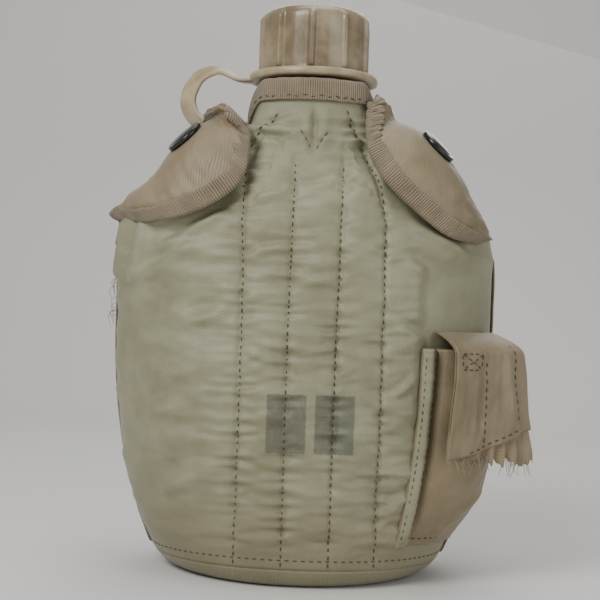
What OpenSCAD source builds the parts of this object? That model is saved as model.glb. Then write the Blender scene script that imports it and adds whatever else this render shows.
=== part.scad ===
// One-quart moulded canteen in a quilted belt cover.
// Origin: centre of the flat base. +Z up, -Y the front, +Y the side worn against the hip.
// Every layer is an offset of one surface, the outside of the bottle's body.

/* [Bottle] */
// Widest outer width of the bottle's body
bottle_w = 135; // [120:0.5:165]
// Outer depth of the body, before its sides sweep back
bottle_d = 66; // [55:0.5:80]
// How far the sides sweep back round the hip
hip_sweep = 16; // [8:0.5:20]
// Height of the widest level above the bottle's base
belly_h = 99; // [80:0.5:120]
// Height from the widest level to the root of the neck
shoulder_h = 63; // [52:0.5:76]
// How much narrower the body is at its base
base_taper_w = 37; // [20:0.5:45]
// How much shallower the body is at its base
base_taper_d = 9; // [4:0.5:14]
// Squareness of the body's outline, where 2 is an ellipse
squareness = 2.7; // [2.2:0.05:3.2]
// Radius of the edge round the base
base_edge_r = 6; // [4:0.5:9]
// Wall of the bottle
bottle_wall = 2; // [1.5:0.1:3]

/* [Neck and cap] */
// Outer radius of the neck below its collar
neck_r = 20; // [19.5:0.1:20.5]
// Height of the neck below its collar
neck_h = 13; // [12:0.5:18]
// How far the collar stands out from the neck
collar_out = 1.5; // [1:0.1:2]
// Height of the collar
collar_h = 3.5; // [2.5:0.1:5]
// Height of the threaded part of the neck
mouth_h = 26.5; // [26:0.5:32]
// Radius of the neck at the root of its thread
thread_root_r = 17; // [16.5:0.1:17.5]
// Wall of the neck behind the thread
neck_wall = 2.5; // [2:0.1:3]
// Rise of the thread in one turn
thread_pitch = 4.5; // [4.2:0.1:5]
// Height of the thread's ridge
thread_depth = 1.4; // [1.2:0.1:1.5]
// Radial clearance between the neck's thread and the cap
thread_gap = 0.5; // [0.4:0.1:0.7]
// Gap between the collar and the bottom of the cap
cap_lift = 2; // [1:0.1:3]
// Wall of the cap's skirt
cap_wall = 1.7; // [1.5:0.1:2.5]
// Thickness of the cap's top
cap_top_t = 2.2; // [1.8:0.1:3]
// Number of grip ribs on the cap
cap_ribs = 10; // [8:1:14]
// How far a grip rib stands out
rib_out = 1.1; // [0.8:0.1:1.4]
// Radius of the cap's upper edge
cap_edge_r = 5; // [3:0.5:6]
// Thickness of the gasket inside the cap
gasket_t = 1.6; // [1:0.1:2]

/* [Cap strap] */
// Thickness of the strap's rings and band
strap_t = 1.8; // [1.4:0.1:2.2]
// Thickness of the ring that holds the cap
cap_ring_t = 3.4; // [2.6:0.1:3.6]
// How far the rings reach outward from their bores
ring_reach = 3.2; // [2.8:0.1:4]
// Width of the band
band_w = 8; // [6:0.5:10]
// Clearance in the bore of each ring
ring_gap = 0.2; // [0.15:0.05:0.3]

/* [Cover] */
// Thickness of the pile lining
lining_t = 2.6; // [2:0.1:3]
// Thickness of the nylon shell
shell_t = 1.4; // [1:0.1:1.8]
// Gap left between any two layers
layer_gap = 0.3; // [0.2:0.05:0.4]
// How far the cover stands off round the neck
neck_ease = 4.6; // [4.4:0.1:6]
// Height of the seam between the base panel and the walls
base_seam_z = 9; // [8:0.5:12]
// Width of the binding tape
tape_w = 6.5; // [5:0.5:9]
// Thickness of the binding tape
tape_t = 0.9; // [0.6:0.1:1.1]

/* [Shoulder flaps] */
// Angle that a flap spans from its seam to its tip
flap_reach = 56; // [45:1:60]
// How far a flap's tip is lifted off the shoulder
flap_lift = 10; // [8.5:0.5:12]
// Thickness of a flap
flap_t = 1.6; // [1.2:0.1:1.8]
// Radius of a snap's cap
snap_r = 7.5; // [6.5:0.1:8]

/* [Pocket] */
// Height of the pocket's mouth
pocket_top = 88; // [80:1:92]
// Height of the pocket's bottom hem
pocket_bottom = 17; // [15:1:25]
// Room inside the pocket
pocket_depth = 9; // [8.5:0.5:11]
// Length of the pocket's flap
pocket_flap_h = 46; // [38:1:50]
// How far the flap's outer corner stands out
pocket_flap_out = 11; // [4:0.5:14]

/* [Belt keepers] */
// Distance between the two keepers
keeper_spacing = 60; // [50:1:64]
// Width of a keeper
keeper_w = 20; // [17:0.5:24]
// Height of the belt that a keeper holds
belt_h = 57; // [50:0.5:60]
// Room for the belt's thickness
belt_gap = 7; // [5:0.5:9]
// Thickness of the keeper's steel
keeper_t = 1.4; // [1.2:0.1:1.8]
// Height of a keeper's lower end
keeper_z = 92; // [80:1:100]
// Travel of a keeper's slide
keeper_travel = 10; // [6:0.5:12]

/* [Hidden] */

$fn = 64;
nylon = "#8f8c6d";
tape_brown = "#86745c";
plastic = "#928468";
strap_tan = "#b5a688";
black_enamel = "#1b1a18";
nickel = "#9a968c";
pile_green = "#5f6046";
webbing_green = "#6d6b4c";

// Offsets of the cover's layers from the bottle's surface
lining_in = layer_gap;
lining_out = lining_in + lining_t;
shell_in = lining_out + layer_gap;
shell_out = shell_in + shell_t;
over_shell = shell_out + layer_gap;

// Heights above the ground
base_z = shell_out;
belly_z = base_z + belly_h;
neck_z = belly_z + shoulder_h;
collar_z = neck_z + neck_h;
mouth_z = collar_z + collar_h;
rim_z = mouth_z + mouth_h;
cover_top_z = collar_z + collar_h;
body_neck_r = neck_r - 0.8;
neck_root = 3;
bore_r = thread_root_r - neck_wall;
thread_z = mouth_z + 10;

// ---- The body's surface ----
function sgn(v) = v < 0 ? -1 : 1;
function power(v, e) = sgn(v) * pow(abs(v), e);
function unit(v) = v / norm(v);
function clamp(v, lo, hi) = min(max(v, lo), hi);
function smooth(v) = let (c = clamp(v, 0, 1)) c * c * (3 - 2 * c);
function mix(a, b, k) = a + (b - a) * k;

// Share of the belly's fullness left at height z, from 1 at the belly to 0 at the neck
function shoulder(z, p) = let (f = clamp((z - belly_z) / shoulder_h, 0, 1)) pow(1 - pow(f, p), 1.25);
// Share of the base taper present at height z
function taper(z) = pow(clamp((belly_z - z) / belly_h, 0, 1), 2.6);
// Inset of the rounded edge round the base at height z
function edge_inset(z) = let (up = clamp(base_edge_r - (z - base_z), 0, base_edge_r))
  base_edge_r - sqrt(max(pow(base_edge_r, 2) - up * up, 0));

function width_at(z) = mix(2 * body_neck_r, bottle_w, shoulder(z, 3.6))
  - base_taper_w * taper(z) - 2 * edge_inset(z);
function depth_at(z) = mix(2 * body_neck_r, bottle_d, shoulder(z, 2.6))
  - base_taper_d * taper(z) - 2 * edge_inset(z);
function exponent_at(z) = 2 / mix(2, squareness, shoulder(z, 3));

// A point of the body at angle a round it (0 right, 90 back, 270 front) and height z
function body(a, z) =
  let (e = exponent_at(z))
  let (cx = power(cos(a), e))
  let (sy = power(sin(a), e))
  let (sweep = hip_sweep * shoulder(z, 2) * (cx * cx - 1 / 3))
  [width_at(z) / 2 * cx, depth_at(z) / 2 * sy + sweep, z];

// The outward direction there
function outward(a, z) = z <= base_z + 0.01 ? [0, 0, -1] :
  let (z0 = max(z - 0.15, base_z))
  unit(cross(body(a + 0.5, z) - body(a - 0.5, z), body(a, z0 + 0.3) - body(a, z0)));

// A point at distance t outside the body, and the same for the cover, which is wider round the neck
function skin(a, z, t) = body(a, z) + t * outward(a, z);
function ease(z) = neck_ease * smooth((z - neck_z + 12) / 12);
function cover(a, z, t) = skin(a, z, t + (t > 0 ? ease(z) : 0));

// ---- Builders ----
// A thick sheet: at(u, v, side) gives a point, side 0 inside and side 1 outside, for u and v from 0 to 1
module sheet(nu, nv, at) {
  rows = nv + 1;
  count = (nu + 1) * rows;
  points = [for (side = [1, 0]) for (i = [0:nu]) for (j = [0:nv]) at(i / nu, j / nv, side)];
  function id(side, i, j) = (1 - side) * count + i * rows + j;
  faces = concat(
    [for (i = [0:nu - 1]) for (j = [0:nv - 1]) for (k = [0, 1])
      k ? [id(1, i, j), id(1, i, j + 1), id(1, i + 1, j + 1)]
        : [id(1, i, j), id(1, i + 1, j + 1), id(1, i + 1, j)]],
    [for (i = [0:nu - 1]) for (j = [0:nv - 1]) for (k = [0, 1])
      k ? [id(0, i, j), id(0, i + 1, j + 1), id(0, i, j + 1)]
        : [id(0, i, j), id(0, i + 1, j), id(0, i + 1, j + 1)]],
    [for (i = [0:nu - 1]) for (k = [0, 1])
      k ? [id(1, i, 0), id(1, i + 1, 0), id(0, i + 1, 0)] : [id(1, i, 0), id(0, i + 1, 0), id(0, i, 0)]],
    [for (i = [0:nu - 1]) for (k = [0, 1])
      k ? [id(1, i, nv), id(0, i, nv), id(0, i + 1, nv)]
        : [id(1, i, nv), id(0, i + 1, nv), id(1, i + 1, nv)]],
    [for (j = [0:nv - 1]) for (k = [0, 1])
      k ? [id(1, 0, j), id(0, 0, j), id(0, 0, j + 1)] : [id(1, 0, j), id(0, 0, j + 1), id(1, 0, j + 1)]],
    [for (j = [0:nv - 1]) for (k = [0, 1])
      k ? [id(1, nu, j), id(1, nu, j + 1), id(0, nu, j + 1)]
        : [id(1, nu, j), id(0, nu, j + 1), id(0, nu, j)]]);
  polyhedron(points = points, faces = faces, convexity = 6);
}

// An open-topped vessel between offsets t_in and t_out, with a ring of points at each height in levels
module vessel(levels, t_in, t_out, segments) {
  n = len(levels);
  outer = [for (z = levels) for (i = [0:segments - 1]) skin(360 * i / segments, z, t_out)];
  inner = [for (z = levels) for (i = [0:segments - 1]) skin(360 * i / segments, z, t_in)];
  middle = -hip_sweep / 3;
  points = concat(outer, inner, [[0, middle, base_z - t_out], [0, middle, base_z - t_in]]);
  function id(side, k, i) = side * n * segments + k * segments + i % segments;
  faces = concat(
    [for (k = [0:n - 2]) for (i = [0:segments - 1]) for (half = [0, 1])
      half ? [id(0, k, i), id(0, k + 1, i), id(0, k + 1, i + 1)]
           : [id(0, k, i), id(0, k + 1, i + 1), id(0, k, i + 1)]],
    [for (k = [0:n - 2]) for (i = [0:segments - 1]) for (half = [0, 1])
      half ? [id(1, k, i), id(1, k + 1, i + 1), id(1, k + 1, i)]
           : [id(1, k, i), id(1, k, i + 1), id(1, k + 1, i + 1)]],
    [for (i = [0:segments - 1]) for (half = [0, 1])
      half ? [id(0, n - 1, i), id(1, n - 1, i), id(1, n - 1, i + 1)]
           : [id(0, n - 1, i), id(1, n - 1, i + 1), id(0, n - 1, i + 1)]],
    [for (i = [0:segments - 1]) [2 * n * segments, id(0, 0, i), id(0, 0, i + 1)]],
    [for (i = [0:segments - 1]) [2 * n * segments + 1, id(1, 0, i + 1), id(1, 0, i)]]);
  polyhedron(points = points, faces = faces, convexity = 8);
}

// Puts what follows at a point, with its own +Z along a direction
module stand(point, direction) {
  tilt = acos(direction[2]);
  heading = atan2(direction[1], direction[0]);
  translate(point) rotate([0, tilt, heading]) children();
}

// One closed ridge of thread: radius r at its root, standing out by depth (inward where negative)
module thread(r, depth, turns, z0) {
  sunk = depth > 0 ? -0.6 : 0.6;
  half_root = 1.15;
  half_crest = 0.5;
  steps = ceil(turns * 20);
  function ring(k) =
    let (a = 360 * turns * k / steps + 11)
    let (grow = min(1, 5 * k / steps + 0.15, 5 * (steps - k) / steps + 0.15))
    let (z = z0 + thread_pitch * a / 360)
    [for (p = [[r + sunk, -half_root], [r + depth * grow, -half_crest], [r + depth * grow, half_crest],
        [r + sunk, half_root]]) [p[0] * cos(a), p[0] * sin(a), z + p[1]]];
  points = [for (k = [0:steps]) for (p = ring(k)) p];
  order = depth > 0 ? [0, 1, 2, 3] : [3, 2, 1, 0];
  function id(k, c) = 4 * k + order[c % 4];
  faces = concat(
    [for (k = [0:steps - 1]) for (c = [0:3]) for (half = [0, 1])
      half ? [id(k, c), id(k, c + 1), id(k + 1, c + 1)] : [id(k, c), id(k + 1, c + 1), id(k + 1, c)]],
    [[id(0, 3), id(0, 2), id(0, 1), id(0, 0)]],
    [[id(steps, 0), id(steps, 1), id(steps, 2), id(steps, 3)]]);
  polyhedron(points = points, faces = faces, convexity = 8);
}

// ---- Bottle ----
neck_foot_z = neck_z + 2;
body_levels = concat(
  [for (k = [0:3]) base_z + base_edge_r * (1 - cos(30 * k))],
  [for (k = [1:5]) mix(base_z + base_edge_r, belly_z, k / 5)],
  [for (k = [1:9]) belly_z + shoulder_h * sin(10 * k)],
  [neck_foot_z]);

module bottle() {
  color(plastic) vessel(body_levels, -bottle_wall, 0, 40);
}

// The neck, welded to the body at neck_foot_z, with its collar and thread
module bottle_neck() {
  color(plastic) {
    rotate_extrude() polygon([
      [neck_r - neck_root - 1, neck_foot_z], [neck_r, neck_foot_z], [neck_r, collar_z],
      [neck_r + collar_out, collar_z + 0.8], [neck_r + collar_out, mouth_z - 0.4],
      [neck_r + collar_out - 0.6, mouth_z], [thread_root_r, mouth_z], [thread_root_r, rim_z - 0.6],
      [thread_root_r - 0.6, rim_z], [bore_r + 0.4, rim_z], [bore_r, rim_z - 0.5],
      [bore_r, neck_z + 7]]);
    thread(thread_root_r, thread_depth, 1.7, thread_z);
  }
}

// ---- Cap ----
cap_z = mouth_z + cap_lift;
cap_bore_r = thread_root_r + thread_depth + thread_gap;
cap_r = cap_bore_r + cap_wall;
gasket_z = rim_z + 0.15;
cap_inner_top = gasket_z + gasket_t;
cap_top_z = cap_inner_top + cap_top_t;
groove_r = cap_r - 0.6;
bead_h = 0.8;
cap_ring_z = cap_z + bead_h + layer_gap / 2;
skirt_z = cap_ring_z + cap_ring_t + layer_gap / 2;
cap_ring_out_r = groove_r + ring_gap + ring_reach + 1.2;

module cap_shell() {
  color(plastic) difference() {
    union() {
      rotate_extrude() polygon(concat(
        [[0, cap_z], [cap_r - 0.3, cap_z], [cap_r, cap_z + 0.3], [cap_r, cap_z + bead_h],
          [groove_r, cap_z + bead_h], [groove_r, skirt_z], [cap_r, skirt_z]],
        [for (k = [0:5]) [cap_r - cap_edge_r * (1 - cos(18 * k)),
          cap_top_z - cap_edge_r * (1 - sin(18 * k))]],
        [[0, cap_top_z]]));
      for (k = [0:cap_ribs - 1]) rotate(360 * (k + 0.4) / cap_ribs) grip_rib();
    }
    translate([0, 0, cap_z - 1]) cylinder(r = cap_bore_r, h = cap_inner_top - cap_z + 1);
  }
  color(plastic) thread(cap_bore_r, -thread_depth, 1.5, thread_z - thread_pitch / 2);
}

// A rib that runs up the side and dies into the rounded edge
module grip_rib() {
  rib_r = 1.9;
  rib_z = skirt_z + 0.6;
  translate([cap_r - rib_r + rib_out, 0, rib_z])
    cylinder(r = rib_r, h = cap_top_z - cap_edge_r * 0.75 - rib_z);
}

module cap_gasket() {
  color(pile_green) translate([0, 0, gasket_z])
    cylinder(r = cap_bore_r - 0.2, h = gasket_t - 0.05);
}

// ---- Cap strap: two rings joined by a band ----
neck_ring_z = neck_z + 2.5;

module ring(z, r_in, r_out, h) {
  translate([0, 0, z]) difference() {
    cylinder(r = r_out, h = h);
    translate([0, 0, -1]) cylinder(r = r_in, h = h + 2);
  }
}

module strap_cap_ring() {
  color(strap_tan) ring(cap_ring_z, groove_r + ring_gap, cap_ring_out_r, cap_ring_t);
}

module strap_neck_ring() {
  color(strap_tan) ring(neck_ring_z, neck_r + ring_gap, neck_r + ring_gap + ring_reach, strap_t);
}

// The band's line, from the cap ring out to the left, over, down and back to the neck ring.
// Each point holds how far left of the ring, how far forward, height, and the band's twist.
band_top = cap_ring_z + strap_t / 2;
band_low = neck_ring_z + strap_t / 2;
band_points = [
  [-cap_ring_out_r + 1, 0, band_top, 0],
  [-cap_ring_out_r - 4, 1, band_top + 0.3, -8],
  [-cap_ring_out_r - 12, 4, band_top + 4, -28],
  [-cap_ring_out_r - 20, 6.5, band_top + 1.5, -45],
  [-cap_ring_out_r - 24, 8, mix(band_low, band_top, 0.6), -50],
  [-cap_ring_out_r - 21, 8, mix(band_low, band_top, 0.16), -40],
  [-cap_ring_out_r - 13, 6, band_low - 0.6, -20],
  [-cap_ring_out_r - 3, 0.6, band_low, -4],
  [-neck_r - ring_gap - ring_reach - 1.4, 0, band_low, 0]];

// A smooth curve through a list of points, at k from 0 to 1
function curve(list, k) =
  let (n = len(list) - 1)
  let (i = min(floor(k * n), n - 1))
  let (f = k * n - i)
  let (p0 = list[max(i - 1, 0)])
  let (p1 = list[i])
  let (p2 = list[i + 1])
  let (p3 = list[min(i + 2, n)])
  0.5 * (2 * p1 + (p2 - p0) * f + (2 * p0 - 5 * p1 + 4 * p2 - p3) * f * f
    + (3 * p1 - p0 - 3 * p2 + p3) * f * f * f);

function xyz(p) = [p[0], p[1], p[2]];

// The band's corner at k along it, across from -1 to 1, and side 0 or 1 through its thickness
function band_corner(k, across, side) =
  let (here = curve(band_points, k))
  let (run = unit(xyz(curve(band_points, min(k + 0.01, 1)) - curve(band_points, max(k - 0.01, 0)))))
  let (flat = unit(cross(run, [0, 1, 0])))
  let (wide = unit(cross(flat, run)))
  let (w = wide * cos(here[3]) + flat * sin(here[3]))
  let (t = flat * cos(here[3]) - wide * sin(here[3]))
  xyz(here) + w * across * band_w / 2 + t * (side - 0.5) * strap_t;

module strap_band() {
  color(strap_tan) sheet(1, 32, function (u, v, side) band_corner(v, 1 - 2 * u, side));
}

// ---- Cover: base, walls and lining ----
wall_levels = 14;
base_levels = [for (k = [0:3]) base_z + base_edge_r * (1 - cos(25 * k))];

// Height of the walls' top edge at angle a, full behind and before the neck and low at the sides
side_top_z = neck_z - 17;
function top_z(a) = mix(cover_top_z, side_top_z, smooth((abs(abs(a % 180) - 90) - 40) / 40));

// Bunches the levels toward the shoulder, where the surface curves most
function wall_z(v, a, drop) =
  let (top = top_z(a) - drop)
  let (low = base_seam_z)
  let (belly = min(belly_z, top - 30))
  v < 0.3 ? mix(low, belly, v / 0.3) : mix(belly, top, sin(90 * (v - 0.3) / 0.7));

module wall(a0, a1, t_in, t_out, drop) {
  sheet(20, wall_levels, function (u, v, side)
    let (a = mix(a0, a1, u)) cover(a, wall_z(v, a, drop), side ? t_out : t_in));
}

seam_angle = 0.5;
module front_panel() { color(nylon) wall(180 + seam_angle, 360 - seam_angle, shell_in, shell_out, 0); }
module back_panel() { color(nylon) wall(seam_angle, 180 - seam_angle, shell_in, shell_out, 0); }
module front_lining() {
  color(pile_green) wall(180 + seam_angle, 360 - seam_angle, lining_in, lining_out, 4);
}
module back_lining() { color(pile_green) wall(seam_angle, 180 - seam_angle, lining_in, lining_out, 4); }

module base_panel() { color(nylon) vessel(base_levels, shell_in, shell_out, 40); }
module base_lining() { color(pile_green) vessel(base_levels, lining_in, lining_out, 40); }

// Tape sewn along the top edge of a wall, between two angles
module neck_binding(a0, a1) {
  color(tape_brown) sheet(16, 1, function (u, v, side)
    let (a = mix(a0, a1, u))
    cover(a, top_z(a) - tape_w * (1 - v), shell_out + 0.15 + side * tape_t));
}
module front_neck_binding() { neck_binding(216, 324); }
module back_neck_binding() { neck_binding(36, 144); }

// Tape over a side seam
module seam_tape(a) {
  color(tape_brown) sheet(2, 10, function (u, v, side)
    cover(a + (u - 0.5) * 5, mix(base_seam_z + 1, side_top_z - 28, v), shell_out + 0.15 + side * tape_t));
}
module left_seam_tape() { seam_tape(180); }
module right_seam_tape() { seam_tape(0); }

// ---- Shoulder flaps ----
// A flap starts just behind the shoulder's ridge and comes forward over it. It is drawn for the left side.
flap_seam_a = 174;
flap_low_z = side_top_z - 14;
flap_high_z = side_top_z + 7;
function tongue(u) = pow(sin(180 * (0.1 + 0.82 * u)), 0.6);
function flap_point(u, v, t) =
  cover(flap_seam_a + v * flap_reach * tongue(u), mix(flap_low_z, flap_high_z, u) + v * u * 5,
    over_shell + 0.3 + flap_lift * pow(v, 1.5) + t);
function flap_normal(u, v) = unit(cross(flap_point(u, v + 0.01, 0) - flap_point(u, v - 0.01, 0),
  flap_point(u + 0.01, v, 0) - flap_point(u - 0.01, v, 0)));
snap_u = 0.62;
snap_v = 0.78;

module flap() {
  color(nylon) sheet(8, 8, function (u, v, side) flap_point(v, u, side * flap_t));
}
module flap_binding() {
  color(tape_brown) sheet(1, 10, function (u, v, side)
    flap_point(v, mix(0.82, 1, u), flap_t + 0.15 + side * tape_t));
}
module snap_cap() {
  color(black_enamel)
    stand(flap_point(snap_u, snap_v, flap_t + tape_t + 0.3), flap_normal(snap_u, snap_v)) {
    cylinder(r = snap_r, h = 0.8);
    translate([0, 0, 0.8]) cylinder(r1 = snap_r, r2 = snap_r - 2, h = 0.9);
  }
}
module snap_socket() {
  color(nickel) stand(flap_point(snap_u, snap_v, -0.3), -flap_normal(snap_u, snap_v)) difference() {
    cylinder(r = snap_r - 1.5, h = 1.4);
    translate([0, 0, 0.4]) cylinder(r = 3.2, h = 2);
  }
}
// The stud on the cover that the socket closes over
function snap_a() = flap_seam_a + snap_v * flap_reach * tongue(snap_u);
function snap_z() = mix(flap_low_z, flap_high_z, snap_u) + snap_v * snap_u * 5;
module snap_stud() {
  color(nickel) stand(cover(snap_a(), snap_z(), shell_out + 0.3), outward(snap_a(), snap_z())) {
    cylinder(r = snap_r - 2, h = 0.6);
    cylinder(r = 2.6, h = 1.6);
  }
}
module left_flap() { flap(); }
module right_flap() { mirror([1, 0, 0]) flap(); }
module left_flap_binding() { flap_binding(); }
module right_flap_binding() { mirror([1, 0, 0]) flap_binding(); }
module left_snap_cap() { snap_cap(); }
module right_snap_cap() { mirror([1, 0, 0]) snap_cap(); }
module left_snap_socket() { snap_socket(); }
module right_snap_socket() { mirror([1, 0, 0]) snap_socket(); }
module left_snap_stud() { snap_stud(); }
module right_snap_stud() { mirror([1, 0, 0]) snap_stud(); }

// ---- Pocket on the right of the front ----
pocket_left_a = 299;
pocket_right_a = 344;
cloth_t = 1.2;

// How far the pouch stands off the cover at u across and v up
function pouch_off(u, v) = pocket_depth * pow(max(sin(180 * u), 0), 0.55) * pow(smooth(v / 0.35), 0.6);
function pouch_point(u, v, t) = cover(mix(pocket_left_a, pocket_right_a, u),
  mix(pocket_bottom, pocket_top, v), over_shell + pouch_off(u, v) + t);

module pocket_pouch() {
  color(nylon) sheet(12, 10, function (u, v, side) pouch_point(u, v, side * cloth_t));
}
module pocket_hem() {
  color(nylon) sheet(1, 10, function (u, v, side)
    pouch_point(mix(0.02, 0.12, u), mix(0.04, 1, v), cloth_t + 0.15 + side * 0.8));
}
module pocket_loop_tape() {
  color(pile_green) sheet(6, 2, function (u, v, side)
    pouch_point(mix(0.3, 0.7, u), mix(0.5, 0.8, v), cloth_t + 0.15 + side * 0.9));
}

// The pocket's flap hangs from a line above the mouth, over the pouch
pocket_flap_top = pocket_top + 6;
flap_left_a = 304;
flap_right_a = 336;
function pocket_flap_point(u, v, t) = cover(mix(flap_left_a, flap_right_a, u),
  pocket_flap_top - pocket_flap_h * v,
  over_shell + 0.4 + (pocket_depth + cloth_t + 2.6) * pow(sin(90 * min(1, v / 0.16)), 0.8)
    + pocket_flap_out * pow(u, 2.5) * v + t);

module pocket_flap() {
  color(nylon) sheet(8, 10, function (u, v, side) pocket_flap_point(u, 1 - v, side * cloth_t));
}
module pocket_hook_tape() {
  color(pile_green) sheet(4, 2, function (u, v, side)
    pocket_flap_point(mix(0.2, 0.7, u), mix(0.75, 0.4, v), -1.05 + side * 0.9));
}

// ---- Belt keepers on the back ----
keeper_h = belt_h + 11;
back_y = max([for (x = [-1, 1]) for (z = [keeper_z, keeper_z + 20, belly_z])
  for (a = [50, 60, 70, 80]) cover(a, z, shell_out)[1]]);
webbing_t = 1.6;
chape_h = 44;
keeper_y = back_y + layer_gap + webbing_t + 0.4;
chape_z = keeper_z + 14;

// Webbing sewn to the back panel, with a band across the keeper's inner leg
module belt_chape() {
  band_y = keeper_y + 2 * keeper_t + 1.1;
  half = keeper_w / 2 + 3;
  color(webbing_green) {
    translate([keeper_spacing / 2 - half, back_y + layer_gap, chape_z])
      cube([2 * half, webbing_t, chape_h]);
    translate([keeper_spacing / 2 - half, band_y, chape_z + 12]) cube([2 * half, 1, 20]);
    for (s = [-1, 1])
      translate([keeper_spacing / 2 + s * (half - 0.5) - 0.5, back_y + layer_gap, chape_z + 12])
      cube([1, band_y + 1 - back_y - layer_gap, 20]);
  }
}

// Steel frame: inner leg against the webbing, a bend over the top, and an outer leg beyond the belt
slide_gap = 0.4;
inner_leg_y = keeper_y;
slide_y = inner_leg_y + keeper_t + slide_gap;
belt_y = slide_y + keeper_t + 1.6;
outer_leg_y = belt_y + belt_gap;
module keeper_frame() {
  x0 = keeper_spacing / 2 - keeper_w / 2;
  color(black_enamel) {
    difference() {
      translate([x0, inner_leg_y, keeper_z]) cube([keeper_w, keeper_t, keeper_h]);
      translate([x0 + 6, inner_leg_y - 1, keeper_z + 46]) cube([keeper_w - 12, keeper_t + 2, 12]);
    }
    translate([x0, inner_leg_y, keeper_z + keeper_h - keeper_t])
      cube([keeper_w, outer_leg_y + keeper_t - inner_leg_y, keeper_t]);
    difference() {
      translate([x0, outer_leg_y, keeper_z + 8]) cube([keeper_w, keeper_t, keeper_h - 8]);
      translate([x0 + 5, outer_leg_y - 1, keeper_z + 16]) cube([keeper_w - 10, keeper_t + 2, keeper_h - 26]);
    }
  }
}

// The slide runs on the inner leg and carries the hook that shuts the frame's lower end
module keeper_slide() {
  slide_w = keeper_w - 4;
  x0 = keeper_spacing / 2 - slide_w / 2;
  hook_z = keeper_z + 8 - keeper_t - 0.4;
  color(nickel) {
    translate([x0, slide_y, hook_z]) cube([slide_w, keeper_t, 34]);
    translate([x0, slide_y, hook_z]) cube([slide_w, outer_leg_y + keeper_t - slide_y, keeper_t]);
  }
}

module left_belt_chape() { mirror([1, 0, 0]) belt_chape(); }
module right_belt_chape() { belt_chape(); }
module left_keeper_frame() { mirror([1, 0, 0]) keeper_frame(); }
module right_keeper_frame() { keeper_frame(); }
module left_keeper_slide() { mirror([1, 0, 0]) keeper_slide(); }
module right_keeper_slide() { keeper_slide(); }

bottle();
bottle_neck();
cap_shell();
cap_gasket();
strap_cap_ring();
strap_band();
strap_neck_ring();
base_panel();
front_panel();
back_panel();
base_lining();
front_lining();
back_lining();
front_neck_binding();
back_neck_binding();
left_seam_tape();
right_seam_tape();
left_flap();
right_flap();
left_flap_binding();
right_flap_binding();
left_snap_cap();
right_snap_cap();
left_snap_socket();
right_snap_socket();
left_snap_stud();
right_snap_stud();
pocket_pouch();
pocket_hem();
pocket_loop_tape();
pocket_flap();
pocket_hook_tape();
left_belt_chape();
right_belt_chape();
left_keeper_frame();
right_keeper_frame();
left_keeper_slide();
right_keeper_slide();
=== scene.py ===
"""The looks of a one-quart canteen in its quilted belt cover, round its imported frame. +Z up, front -Y.

Shapes are worked out in millimetres and become metres in make_mesh. An angle a runs round the body in degrees:
0 is the right side, 90 the back, 180 the left side and 270 the front. A height above the floor is z.
"""
import math

import bmesh
import bpy
import numpy as np
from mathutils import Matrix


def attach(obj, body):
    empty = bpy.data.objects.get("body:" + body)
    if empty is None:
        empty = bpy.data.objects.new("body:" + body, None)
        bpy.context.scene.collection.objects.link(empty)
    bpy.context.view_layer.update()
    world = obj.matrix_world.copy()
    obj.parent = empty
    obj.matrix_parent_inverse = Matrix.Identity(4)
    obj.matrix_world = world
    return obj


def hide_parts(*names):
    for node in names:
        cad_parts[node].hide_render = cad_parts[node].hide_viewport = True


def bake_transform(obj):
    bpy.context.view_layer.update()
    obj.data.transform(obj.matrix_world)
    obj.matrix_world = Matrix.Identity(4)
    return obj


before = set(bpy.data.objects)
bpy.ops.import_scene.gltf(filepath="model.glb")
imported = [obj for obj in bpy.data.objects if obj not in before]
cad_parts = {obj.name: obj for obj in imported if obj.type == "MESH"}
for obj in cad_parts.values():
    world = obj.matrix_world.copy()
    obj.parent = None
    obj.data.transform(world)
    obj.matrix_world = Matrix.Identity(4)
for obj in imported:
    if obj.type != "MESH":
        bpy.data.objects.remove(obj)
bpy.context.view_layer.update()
MM = 0.001

# ---------------------------------------------------------------- the body's surface, in millimetres
BOTTLE_W = 135.0
BOTTLE_D = 66.0
HIP_SWEEP = 16.0
BASE_Z = 4.6
BELLY_Z = BASE_Z + 99.0
NECK_Z = BELLY_Z + 63.0
NECK_D = 38.4
TAPER_W = 37.0
TAPER_D = 9.0
SQUARENESS = 2.7
EDGE_R = 6.0
NECK_EASE = 4.6
LINING_IN = 0.3
LINING_OUT = 2.9
SHELL_IN = 3.2
SHELL_OUT = 4.6
COVER_TOP_Z = NECK_Z + 16.5
SIDE_TOP_Z = NECK_Z - 17.0
BASE_SEAM_Z = 9.0
BRIDGE_Z = 152.0
BRIDGE_RISE = 15.0


def mix(a, b, k):
    """a where k is 0 and b where k is 1."""
    return a + (b - a) * k


def smooth(v):
    """0 below 0, 1 above 1, and 3v^2 - 2v^3 between."""
    c = np.clip(v, 0.0, 1.0)
    return c * c * (3.0 - 2.0 * c)


def unit(v):
    """Vectors scaled to length 1."""
    return v / np.maximum(np.linalg.norm(v, axis=-1, keepdims=True), 1e-12)


def signed_power(v, e):
    """|v| to the power e, with the sign of v."""
    return np.sign(v) * np.abs(v) ** e


def shoulder(z, p):
    """(1 - f^p)^1.25, where f runs from 0 at the belly to 1 at the neck."""
    f = np.clip((z - BELLY_Z) / (NECK_Z - BELLY_Z), 0.0, 1.0)
    return (1.0 - f**p) ** 1.25


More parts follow.
